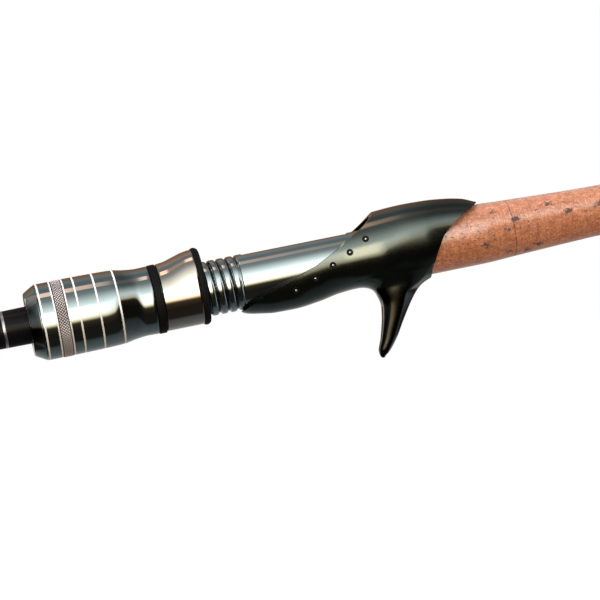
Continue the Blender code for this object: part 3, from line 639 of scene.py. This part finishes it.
def seat_solid(a, y, z):
    """Below zero inside the seat body before it is hollowed. a is the station."""
    half, lift, depth = curve(a, HALF_WIDTH), curve(a, WIDEST), -z
    tall = np.where(z > lift, curve(a, TOP) - lift, curve(a, UNDERSIDE) + lift)
    body = (np.sqrt((y / half) ** 2 + ((z - lift) / tall) ** 2) - 1) * np.minimum(half, tall)
    front, back = curve(depth, TRIGGER_FRONT), curve(depth, TRIGGER_BACK)
    end = np.sqrt(np.clip(1 - (np.clip(depth - TIP_START, 0, None) / TIP_LENGTH) ** 2, 0.0025, 1))
    middle, reach = (front + back) / 2, (back - front) / 2 * end
    across = curve(depth, TRIGGER_HALF) * end
    rounded = np.abs((a - middle) / reach) ** TRIGGER_POWER + np.abs(y / across) ** TRIGGER_POWER
    trigger = (rounded ** (1 / TRIGGER_POWER) - 1) * across
    trigger = np.maximum(np.maximum(trigger, z + 5), depth - TRIGGER_END)
    slant = curve(depth, SLANT)
    facet = (a - curve(depth, SPINE) + slant * np.abs(y)) / np.sqrt(1 + slant**2)
    return blend_max(blend_min(body, trigger, 2.6), facet, 0.1)


def front_cut(a, y, z):
    return (z - curve(a, FRONT_EDGE)) / 1.12


def nose_cut(a, y, z):
    return NOSE - a


def rear_cut(a, y, z):
    return (a - curve(z, REAR_EDGE)) / 1.3


def outside_pocket(a, y, z):
    """Keeps clear the pocket that takes the reel foot's rear end, with an even wall left round it."""
    wall = -POCKET_WALL - seat_solid(a, y, z)
    ends = np.maximum(a - POCKET_REAR, POCKET_FRONT - a)
    return np.minimum(np.minimum(wall, z - POCKET_FLOOR), -ends)


def outside_bore(a, y, z):
    return SEAT_BORE_R - np.hypot(y, z)


def seat_field(a, y, z):
    faces = (seat_solid, front_cut, nose_cut, rear_cut, outside_pocket, outside_bore)
    return reduce(np.maximum, (face(a, y, z) for face in faces))


def seat_surface(a, z, side):
    """The place on the seat's flank at a station and height, and the direction out of it."""
    y = np.arange(16.0, 4.0, -0.01)
    y = float(y[np.argmax(seat_solid(np.full_like(y, a), y, np.full_like(y, z)) < 0)])
    normal = Vector(slopes_of(seat_solid, np.array([[a, y, z]]), 0.05)[0]).normalized()
    normal.y *= side
    return Vector((st(a), y * side, z)), normal


def pin(centre, normal, profile, seg=40):
    """A round piece that stands on a surface: profile holds its (height, radius) points."""
    across = normal.cross(Vector((1, 0, 0))).normalized()
    other = normal.cross(across)
    spokes = [across * math.cos(TAU * i / seg) + other * math.sin(TAU * i / seg) for i in range(seg)]
    return loft([[tuple(centre + normal * h + spoke * r) for spoke in spokes] for h, r in profile], False)


def build_seat():
    step = 0.42
    mesh = net_mesh(seat_field, (67.6, -14.2, -37.6), (164.4, 14.2, 17.2), step, NUT_RING_X)
    for poly in mesh.polygons:
        a, z = poly.center.x * 1000 - NUT_RING_X, poly.center.z * 1000
        if a < SHADED_RIM_END and poly.normal.z > 0.5 and abs(float(front_cut(a, 0.0, z))) < 0.2:
            poly.material_index = 1  # painted shade: the narrow rim beside the barrel gets the near-black material
    piece("seat_shell", mesh, ("paint", "stud"), "handle", "seat_paint", "seat_body", sharp=40)
    # each stud is a shallow cup in the near-black material: painted shade standing in for a hollow round its
    # bright bead
    cup = [(-0.9, 1.2), (0.06, 1.22), (0.17, 1.13), (0.18, 0.98), (0.10, 0.8), (0.07, 0.02)]
    bead = [(-0.3, 0.48)] + [(0.3 * math.sin(t), 0.48 * math.cos(t)) for t in np.linspace(0, 1.5, 7)]
    for n, (a, z) in enumerate(STUDS, 1):
        for side, word in ((-1, "near"), (1, "far")):
            place = seat_surface(a, z, side)
            stud = pin(*place, cup)
            piece(f"stud_{word}_{n}", stud, "stud", "handle", "black_anodised", f"accent_stud_{word}_{n}")
            piece(f"stud_bead_{word}_{n}", pin(*place, bead, 24), "trim", "handle", "polished_metal")


# ---------------------------------------------------------------- barrel, nut and hood
THREAD_START, THREAD_END = 12.0, 71.8
THREAD_DEPTH = 0.90
DECK_START, DECK_END, DECK_Z = 73.4, 112.6, 9.5  # the flat under the reel's foot


def groove(p):
    """The depth of the thread's rounded groove at a share p of one pitch."""
    return THREAD_DEPTH * (0.5 - 0.5 * math.tanh((abs(p % 1.0 - 0.5) - 0.13) / 0.10))


def build_barrel():
    """The barrel with its coarse right-handed thread: one turn moves the nut by PITCH."""
    seg = 180
    stations = [*np.arange(THREAD_START - 0.5, 56.0, 0.2), *np.arange(56.0, THREAD_END + 0.6, 0.09)]
    stations += [72.8, DECK_START - 0.01, DECK_START + 0.01, 90.0]
    stations += [DECK_END - 0.01, DECK_END + 0.01, 126.0, 136.8]
    loops = []
    for a in stations:
        fade = ease((a - THREAD_START) / 1.6) * ease((THREAD_END - a) / 1.2)
        loop = []
        for i in range(seg):
            angle = TAU * i / seg
            r = BARREL_R - groove((a - THREAD_START) / PITCH - i / seg) * fade
            z = r * math.sin(angle)
            if DECK_START <= a <= DECK_END:
                z = min(z, DECK_Z)
            loop.append((st(a), r * math.cos(angle), z))
        loops.append(loop)
    for a, r in ((137.0, 9.7), (137.0, 8.0), (10.8, 8.0), (10.8, 9.6), (11.0, BARREL_R)):
        loops.append(circle(st(a), r, seg))
    mesh = loft(loops)
    for poly in mesh.polygons:
        a, r = poly.center.x * 1000 - NUT_RING_X, math.hypot(poly.center.y, poly.center.z) * 1000
        if THREAD_START < a < THREAD_END and BARREL_R - 1.0 < r < BARREL_R - 0.6:
            poly.material_index = 1  # painted shade: the bottom of the thread's groove gets the near-black material
    piece("barrel_thread", mesh, ("barrel", "black"), "handle", "polished_metal", "seat_barrel", sharp=80)


LINES = (0.0, 12.8, 19.8, 27.1)  # stations of the bright machined lines round the nut
NUT_OUTLINE = (
    (-0.8, 13.6), (9.0, 13.6), (18.0, 13.5), (27.1, 13.2), (28.6, 12.95), (31.0, 12.5), (35.5, 12.05),
    (39.6, 12.15),
)
BAND_EDGES = (4.55, 9.0)  # and of the bright edges of the groove that holds the knurled band
KNURL_START, KNURL_END, KNURL_R = 4.85, 8.7, 13.48


def nut_radius(a):
    return float(curve(a, NUT_OUTLINE))


def nut_shell_mesh():
    stations = [*np.arange(1.0, 27.0, 1.0), 27.6, 28.0, 28.6, 29.3, 30.2, 31.0]
    stations += [32.2, 33.5, 35.0, 36.5, 38.0, 39.2]
    plain = [a for a in stations if not 3.9 < a < 9.7 and all(abs(a - line) >= 0.5 for line in LINES)]
    marks = [(a, nut_radius(a)) for a in plain]
    for line in LINES:
        r = nut_radius(line)
        marks += [(line - 0.34, r), (line - 0.27, r - 0.1), (line + 0.27, r - 0.1), (line + 0.34, r)]
    marks += [(4.25, 13.6), (4.32, 13.52), (4.78, 13.52), (4.8, 12.5)]
    marks += [(8.75, 12.5), (8.77, 13.52), (9.23, 13.52), (9.3, 13.6)]
    outer = [(-0.72, 13.45), (-0.55, nut_radius(-0.5)), *sorted(marks), (39.4, 12.1), (39.5, 11.95)]
    bore = [(39.5, 11.35), (28.3, 11.35), (28.0, 10.6), (2.4, 10.6), (1.9, 7.1), (-0.72, 7.1)]
    mesh = turn([(st(a), r) for a, r in outer + bore], 160)
    for poly in mesh.polygons:
        a, r = poly.center.x * 1000 - NUT_RING_X, math.hypot(poly.center.y, poly.center.z) * 1000
        on_line = any(abs(a - line) < 0.28 for line in LINES)
        on_edge = any(abs(a - edge) < 0.22 for edge in BAND_EDGES)
        if (on_line or on_edge) and r > 12.9:
            poly.material_index = 1  # machined bright
    return mesh


def knurl_mesh():
    """Two crossing sets of ridges, which stand out as diamond points."""
    seg, rows, ridges, ridge_length, ridge_height = 960, 36, 80, 1.07, 0.30
    loops = []
    for k in range(rows + 1):
        t = k / rows
        a = KNURL_START + (KNURL_END - KNURL_START) * t
        edge = ease(min(t, 1 - t) / 0.10)
        loop = []
        for i in range(seg):
            angle = TAU * i / seg
            p, q = ridges * angle / TAU, (a - KNURL_START) / ridge_length
            one, two = abs((p + q) % 1.0 - 0.5) * 2, abs((p - q) % 1.0 - 0.5) * 2
            r = KNURL_R + ridge_height * min(one, two, 0.80) * edge
            loop.append((st(a), r * math.cos(angle), r * math.sin(angle)))
        loops.append(loop)
    return loft(loops + [circle(st(a), 12.7, seg) for a in (KNURL_END, KNURL_START)])


def build_nut():
    piece("nut_body", nut_shell_mesh(), ("nut", "line"), "nut", "polished_metal", "nut_shell", sharp=24)
    lip = st(-4.9)
    cone = [(lip, 10.9, 0.2), (lip + 0.35, 11.35, 0.15), (lip + 4.1, 13.5, 0.12)]
    collar = ring(cone, [(lip, 7.1), (lip + 4.1, 7.1)], 0.2)
    piece("nut_front_collar", collar, "nut", "nut", "polished_metal", "nut_collar")
    piece("nut_knurl", knurl_mesh(), "knurl", "nut", "knurled_aluminium", "knurled_band", sharp=30)
    front, back = st(28.6), st(39.2)
    insert = ring([(front, 11.15), (back, 11.15)], [(front, BORE_R), (back, BORE_R)])
    piece("nut_insert", insert, "trim", "nut", "knurled_aluminium", "thread_insert")
    front, back = st(39.65), st(42.5)
    seal = ring([(front, 12.3, 0.5), (back, 12.35, 0.5)], [(front, 10.2), (back, 10.2)], 0.3, steps=8)
    piece("nut_seal", seal, "rubber", "nut", "black_rubber", "nut_seal_ring")


HOOD_FRONT, HOOD_REAR = 42.7, 56.0


def lobed(a, base, rise, half_angle, flat_angle, seg=180):
    """A circle that rises round its top: fully within flat_angle of it, and not at all past half_angle."""
    loop = []
    for i in range(seg):
        angle = TAU * i / seg
        off = abs((math.degrees(angle) - 90 + 180) % 360 - 180)
        r = base + rise * ease((half_angle - off) / (half_angle - flat_angle))
        loop.append((st(a), r * math.cos(angle), r * math.sin(angle)))
    return loop


def hood_outer(a, extra=0.0):
    rise = curve(a, ((42.7, 0.25), (45.5, 0.6), (49.5, 1.7), (53.0, 2.65), (56.0, 3.0), (58.3, 3.0)))
    return lobed(a, 11.9 + extra, float(rise), 88, 22)


def hood_inner(a, extra=0.0):
    rise = curve(a, ((46.0, 0.0), (48.0, 0.9), (56.0, 2.5), (58.3, 2.6)))
    return lobed(a, 10.2 + extra, float(rise), 62, 34)


def build_hood():
    outer = [hood_outer(HOOD_FRONT + ahead, extra) for ahead, extra in ((0.0, -0.3), (0.1, -0.1), (0.3, 0.0))]
    outer += [hood_outer(a) for a in np.linspace(HOOD_FRONT + 0.7, HOOD_REAR - 0.2, 26)]
    outer.append(hood_outer(HOOD_REAR, -0.08))
    inner = [hood_inner(a) for a in (HOOD_REAR, 54.0, 52.0, 50.0, 48.5, 47.5, 46.5, HOOD_FRONT)]
    piece("hood_shell_fine", loft(outer + inner), "hood", "hood", "polished_metal", "hood_shell", sharp=50)
    rim, width, steps = HOOD_REAR + 0.05, 2.25, 12
    outer = []
    for k in range(steps + 1):
        t = k / steps
        bulge = 0.72 * math.sin(math.pi * min(1.0, 0.08 + 0.86 * t)) ** 0.7
        outer.append(hood_outer(rim + width * t, -0.1 + bulge - 0.25 * t))
    shares = (1.0, 0.85, 0.65, 0.4, 0.0)
    inner = [hood_inner(rim + width * t, 0.4 * t**3 + 0.02) for t in shares]
    piece("hood_bead", loft(outer + inner), "rubber", "hood", "black_rubber", "hood_rim", sharp=50)


# ---------------------------------------------------------------- grip and tubes
GRIP = (
    (-197.0, 10.8), (-175.0, 10.8), (-163.8, 10.3), (-146.0, 9.55), (-130.7, 9.05), (-110.0, 8.85),
    (-85.0, 9.1), (-58.0, 9.9), (-36.0, 11.2), (-24.0, 12.1),
)
SEAMS = (-163.8, -128.8, -93.8, -58.8)
CORK_BORE_R = 6.4


def grip_radius(x):
    return float(curve(x, GRIP))


def build_grip():
    ends = (GRIP[0][0], *SEAMS, GRIP[-1][0])
    gap = 0.08  # half the space at a seam, which the glue fills
    for n, (x0, x1) in enumerate(zip(ends, ends[1:]), 1):
        xs = [x0 + 2 * gap, *np.linspace(x0 + 0.5, x1 - 0.5, 22), x1 - 2 * gap]
        outer = [(x, grip_radius(x)) for x in xs]
        edges = [(x0 + gap, grip_radius(x0) - 0.10)], [(x1 - gap, grip_radius(x1) - 0.10)]
        cork = turn(edges[0] + outer + edges[1] + [(x1 - gap, CORK_BORE_R), (x0 + gap, CORK_BORE_R)])
        piece(f"cork_{n}", cork, "cork", "handle", "varnished_cork", f"cork_section_{n}", sharp=50)
    for n, x in enumerate(SEAMS, 1):
        r = grip_radius(x) - 0.13
        glue = turn([(x - 0.07, r), (x + 0.07, r), (x + 0.07, 7.0), (x - 0.07, 7.0)])
        piece(f"cork_glue_{n}", glue, "seam", "handle", "varnished_cork")
    trim = ring([(-23.8, 12.35), (-20.7, 12.5)], [(-23.8, 6.5), (-20.7, 6.5)], 0.5, steps=6)
    piece("butt_ring", trim, "trim", "handle", "polished_metal", "butt_trim_ring")
    cap = [
        (-20.5, 12.45, 0.4), (-4.0, 12.75, 2.0), (-1.2, 12.3, 1.6), (0.0, 10.4, 0.8), (0.0, 4.0, 0.2),
        (-0.7, 3.6, 0.2), (-0.7, 0.4, 0.1), (-3.0, 0.4, 0.1), (-13.6, 6.5, 0.1), (-20.5, 6.5, 0.2),
    ]
    cap_mesh = turn(soften(cap, 0.3, 6))
    piece("butt_cap_fine", cap_mesh, "rubber", "handle", "black_rubber", "butt_cap", sharp=50)
    for name, front, back in (("arbor_front", st(24.0), st(52.0)), ("arbor_rear", st(104.0), st(134.0))):
        arbor = ring([(front, 7.8), (back, 7.8)], [(front, 6.35), (back, 6.35)], seg=96)
        piece(name + "_fine", arbor, "foam", "handle", "arbor_foam", name)


# name, X of the back and front ends, radius at the back and at the front, bore radius, body
SECTIONS = (
    ("section_2", -24.0, -476.0, 4.85, 4.50, 4.05, "slider_2"),
    ("section_3", -28.0, -492.0, 3.75, 3.40, 2.95, "slider_3"),
    ("section_4", -32.0, -508.0, 2.65, 2.30, 1.85, "slider_4"),
    ("section_5", -36.0, -526.0, 1.55, 1.15, 0.25, "slider_5"),
)


def build_tubes():
    outer = ring([(-460.0, 5.95), (-346.0, 6.0), (-14.0, 6.1)], [(-460.0, 5.2), (-14.0, 5.4)], 0.1)
    piece("blank_outer", outer, "blank", "handle", "gloss_black_blank", "outer_tube")
    for name, back, front, back_r, front_r, bore, body in SECTIONS:
        tube = ring([(front, front_r), (back, back_r)], [(front, bore), (back, bore + 0.15)], 0.08, 96)
        piece(name + "_fine", tube, "blank", body, "gloss_black_blank", name)
    inside = [(-460.8, 5.3), (-460.3, 5.3), (-460.3, 6.2), (-457.5, 6.2)]
    ferrule = ring([(-460.8, 6.6), (-460.4, 7.1), (-457.5, 7.1)], inside, 0.15)
    piece("ferrule", ferrule, "trim", "handle", "polished_metal", "end_ferrule")
    epoxy = [(-358.0, 6.35), (-356.0, 6.45), (-352.0, 6.52), (-346.0, 6.6), (-341.0, 6.66), (-322.0, 6.66)]
    wrap = ring(epoxy, [(-358.0, 6.12), (-322.0, 6.12)], 0.12)
    piece("wrap_epoxy", wrap, "wrap", "handle", "gloss_black_blank", "tube_wrap")
    mark = [(-349.0, 6.56), (-348.75, 6.64), (-348.25, 6.65), (-348.0, 6.58)]
    band = ring(mark, [(-349.0, 6.2), (-348.0, 6.2)], 0.05)
    piece("wrap_silver_band", band, "silver", "handle", "knurled_aluminium")
    mark = [(-359.2, 6.2), (-358.9, 6.5), (-358.5, 6.5), (-358.2, 6.25)]
    end = ring(mark, [(-359.2, 6.08), (-358.2, 6.08)], 0.05)
    piece("wrap_silver_end", end, "silver", "handle", "knurled_aluminium", "wrap_trim_ring")


# ---------------------------------------------------------------- guides
# name, X of the sleeve's front, tube radius, height of the ring's centre, radius of its bore, body
GUIDES = (
    ("guide_1", -457.0, 6.0, 17.5, 5.6, "handle"),
    ("guide_2", -474.5, 4.52, 14.0, 4.4, "slider_2"),
    ("guide_3", -490.5, 3.42, 11.4, 3.5, "slider_3"),
    ("guide_4", -506.5, 2.32, 9.0, 2.8, "slider_4"),
)


def tube_field(x, rho, x0, x1, outer, inner, soft):
    wall = np.maximum(rho - outer, inner - rho)
    return blend_max(wall, np.maximum(x0 - x, x - x1), soft)


def guide_ring(x0, x1, seat_r, bore_r, edge, sizes, seg, ring_z):
    """A hard ring whose bore is rounded and opens out by edge; sizes holds the radii of its corners."""
    corner, lip, throat = sizes
    middle = (x0 + x1) / 2
    profile = [
        (x0, seat_r, corner), (x1, seat_r, corner), (x1, bore_r + edge, lip), (middle, bore_r, throat),
        (x0, bore_r + edge, lip),
    ]
    return turn(soften(profile, 0.2, 5), seg, ring_z)


def build_guide(name, front, tube_r, ring_z, bore_r, body):
    seat_r = bore_r + 0.9
    holder_r = seat_r + 0.9
    x0 = front + 1.4
    foot, reach = tube_r + 0.6, ring_z - seat_r - 0.3

    def field(x, y, z):
        """A sleeve on the tube, a rim round the ring, and two legs that spread to the rim from one foot."""
        rho, off_ring = np.hypot(y, z), np.hypot(y, z - ring_z)
        sleeve = tube_field(x, rho, front, front + 7.0, tube_r + 1.2, tube_r + 0.25, 0.5)
        rim = tube_field(x, off_ring, x0, x0 + 1.8, holder_r - 0.05, seat_r + 0.12, 0.6)
        t = np.clip((z - foot) / (reach - foot), 0, 1)
        spread = 0.55 + (0.62 * holder_r - 0.55) * t**1.4
        lean, thick = 1.0 + 1.5 * (1 - t) ** 2, 0.62 + 0.75 * (1 - t) ** 2
        leg = np.hypot((np.abs(y) - spread) / 0.8, (x - (x0 + lean)) / thick) - 1.0
        leg = np.maximum(leg * 0.62, np.maximum(foot - 0.4 - z, z - reach - 0.35 * bore_r))
        leg = np.maximum(leg, seat_r + 0.2 - off_ring)
        return np.maximum(blend_min(blend_min(sleeve, rim, 0.4), leg, 0.7), tube_r + 0.25 - rho)

    step = 0.27
    r = max(holder_r, tube_r + 1.3) + 0.5
    low, high = (front - 0.5, -r, -tube_r - 1.9), (front + 7.6, r, ring_z + holder_r + 0.5)
    frame_mesh = net_mesh(field, low, high, step)
    piece(name + "_frame_fine", frame_mesh, "guide", body, "guide_frame", name + "_frame", sharp=60)
    hard = guide_ring(x0 - 0.2, x0 + 2.0, seat_r - 0.1, bore_r, 0.25, (0.15, 0.3, 1.0), 96, ring_z)
    piece(name + "_ring_fine", hard, "ceramic", body, "guide_ring", name + "_ring")


def build_tip():
    x0, x1, tube_r = -532.0, -520.0, 1.37
    ring_z, bore_r = 5.6, 2.1
    seat_r = bore_r + 0.7

    def field(x, y, z):
        """A closed sleeve on the last section, a rim round the ring, and two legs between them."""
        rho, off_ring = np.hypot(y, z), np.hypot(y, z - ring_z)
        sleeve = tube_field(x, rho, x0 + 0.1, x1, tube_r + 0.55 + 0.02 * (x - x0), -1.0, 0.6)
        rim = tube_field(x, off_ring, x0 + 0.6, x0 + 2.2, seat_r + 0.78, seat_r + 0.12, 0.5)
        t = np.clip((z - 1.2) / (ring_z - seat_r - 1.2), 0, 1)
        spread, lean, thick = 0.3 + 1.4 * t, 1.4 + 3.2 * (1 - t), 0.6 + 0.9 * (1 - t)
        leg = np.hypot((np.abs(y) - spread) / 0.65, (x - (x0 + lean)) / thick) - 1.0
        leg = np.maximum(leg * 0.5, np.maximum(0.9 - z, z - ring_z + 1.2))
        leg = np.maximum(leg, seat_r + 0.15 - off_ring)
        hollow = np.maximum(rho - tube_r, -526.3 - x)
        return np.maximum(blend_min(blend_min(sleeve, rim, 0.4), leg, 0.6), -hollow)

    step = 0.2
    frame_mesh = net_mesh(field, (x0 - 0.4, -4.2, -2.7), (x1 + 0.5, 4.2, ring_z + seat_r + 1.3), step)
    piece("tip_frame_fine", frame_mesh, "guide", "slider_5", "guide_frame", "tip_top_frame", sharp=60)
    hard = guide_ring(x0 + 0.4, x0 + 2.4, seat_r - 0.08, bore_r, 0.2, (0.12, 0.25, 0.8), 80, ring_z)
    piece("tip_ring_fine", hard, "ceramic", "slider_5", "guide_ring", "tip_top_ring")


# ---------------------------------------------------------------- floor and light
def build_stage():
    """A white floor far below, which only the camera sees."""
    reach, height = 9000, -420
    corners = [(x * reach, y * reach, height) for x, y in ((-1, -1), (1, -1), (1, 1), (-1, 1))]
    sides = [(i, (i + 1) % 4, 4) for i in range(4)]
    mesh = mesh_of(corners + [(0, 0, height - 10)], [(0, 1, 2, 3)] + sides)
    white = (1, 1, 1, 1)
    g = Graph("floor_white").set(Base_Color=(0.9, 0.9, 0.9, 1), Roughness=0.9)
    mesh.name = "floor"
    mesh.materials.append(g.out(Emission_Color=white, Emission_Strength=1.0))
    floor = bpy.data.objects.new("floor", mesh)
    bpy.context.scene.collection.objects.link(floor)
    floor.visible_glossy = False
    floor.visible_diffuse = False
    floor.visible_shadow = False


# what a polished face sees round the rod's axis, by degrees: 0 is level in front, 90 overhead, -90 below
STUDIO = (
    (-180, (0.60, 0.58, 0.56)), (-150, (0.28, 0.28, 0.29)), (-128, (0.15, 0.16, 0.17)),
    (-106, (0.095, 0.11, 0.12)), (-92, (0.075, 0.08, 0.08)), (-82, (0.016, 0.016, 0.014)),
    (-45, (0.018, 0.014, 0.010)), (-30, (0.04, 0.03, 0.02)), (-25, (0.06, 0.045, 0.03)),
    (-22, (0.24, 0.17, 0.10)), (-19, (0.85, 0.66, 0.42)), (-15, (1.65, 1.40, 1.05)),
    (-7, (1.9, 1.8, 1.6)), (1, (2.1, 2.05, 1.95)), (12, (2.1, 2.1, 2.1)), (20, (1.75, 1.8, 1.8)),
    (26, (1.4, 1.5, 1.48)), (35, (1.08, 1.16, 1.14)), (47, (0.70, 0.71, 0.70)),
    (60, (0.30, 0.36, 0.37)), (74, (0.24, 0.25, 0.25)), (97, (0.20, 0.21, 0.22)),
    (106, (0.15, 0.19, 0.22)), (122, (0.27, 0.27, 0.27)), (132, (0.30, 0.22, 0.17)),
    (145, (0.27, 0.155, 0.095)), (180, (0.20, 0.11, 0.065)),
)


def studio_light(t):
    """What glossy pieces see: a broad bright bank in front, dim above, dark below. t is the world's tree."""
    x, y, z = t.split(t.node("TexCoord").outputs["Generated"])

    def fade(value, low, high, out_low=0.0, out_high=1.0):
        return t.span(value, low, high, out_low, out_high, "SMOOTHSTEP")

    # towards either end of the rod the studio is the same in front and behind
    side = fade(t.math("ABSOLUTE", x), 0.40, 0.62)
    front = t.times(t.times(y, -1.0), t.math("SUBTRACT", 1.0, side))
    toward = t.math("ADD", front, t.times(t.math("ABSOLUTE", y), side))
    angle = t.math("ARCTAN2", z, toward)
    # the bright bank's lower edge climbs towards the butt
    climb = fade(x, 0.10, 0.34, 0.0, math.radians(40))
    low_part = fade(angle, math.radians(15), math.radians(85), 1.0, 0.0)
    angle = t.math("SUBTRACT", angle, t.times(climb, low_part))
    turn_share = t.math("ADD", t.math("DIVIDE", angle, TAU), 0.5)
    bank = t.ramp(turn_share, [(degrees / 360 + 0.5, colour) for degrees, colour in STUDIO])
    # a low warm lamp towards the tip, and darkness past the tip itself
    lamp = t.times(fade(x, 0.05, 0.14, 1.0, 0.0), fade(x, -0.50, -0.25))
    lamp = t.times(lamp, t.times(fade(angle, -0.26, -0.05), fade(angle, 0.25, 0.45, 1.0, 0.0)))
    # a salmon strip overhead, which fades towards both ends
    overhead = fade(angle, math.radians(75), math.radians(78))
    strip = t.times(overhead, fade(angle, math.radians(91), math.radians(94), 1.0, 0.0))
    strip = t.times(t.times(strip, fade(x, 0.0, 0.17, 1.0, 0.1)), fade(x, -0.2, -0.05, 0.1, 1.0))
    lit = t.mix(lamp, bank, (2.4, 1.8, 1.1, 1), "ADD")
    lit = t.mix(strip, lit, (1.7, 1.0, 0.74, 1), "ADD")
    # a blue-grey card past the butt
    lit = t.mix(fade(x, 0.55, 0.85), lit, (0.75, 0.85, 0.95, 1), "ADD")
    ends = t.times(fade(x, -0.80, -0.55, 0.06, 1.0), fade(x, 0.12, 0.30, 1.0, 0.45))
    dusk = t.node("CombineColor", {0: ends, 1: ends, 2: ends}).outputs[0]
    return t.mix(1.0, lit, dusk, "MULTIPLY"), z


def build_world():
    """White for the camera, a studio for glossy pieces and a plain soft dome for matt ones."""
    world = bpy.data.worlds.new("studio")
    bpy.context.scene.world = world
    world.use_nodes = True
    world.node_tree.nodes.clear()
    t = Tree(world.node_tree)
    lit, z = studio_light(t)
    # the dome is cool above, warm and dimmer below
    dome = t.mix(t.span(z, 0.0, 0.40, kind="SMOOTHSTEP"), (0.62, 0.45, 0.32, 1), (2.85, 2.8, 2.95, 1))
    colours = (lit, dome, (1, 1, 1, 1))
    glossy, matt, white = [t.node("Background", {0: colour}).outputs[0] for colour in colours]
    ray = t.node("LightPath").outputs
    mixed = t.node("MixShader", {0: ray["Is Diffuse Ray"], 1: glossy, 2: matt}).outputs[0]
    mixed = t.node("MixShader", {0: ray["Is Camera Ray"], 1: mixed, 2: white}).outputs[0]
    t.node("OutputWorld", {0: mixed})


place_camera()
build_seat()
build_barrel()
build_nut()
build_hood()
build_grip()
build_tubes()
for guide in GUIDES:
    build_guide(*guide)
build_tip()
build_stage()
build_world()
bpy.context.scene.view_settings.view_transform = "Standard"
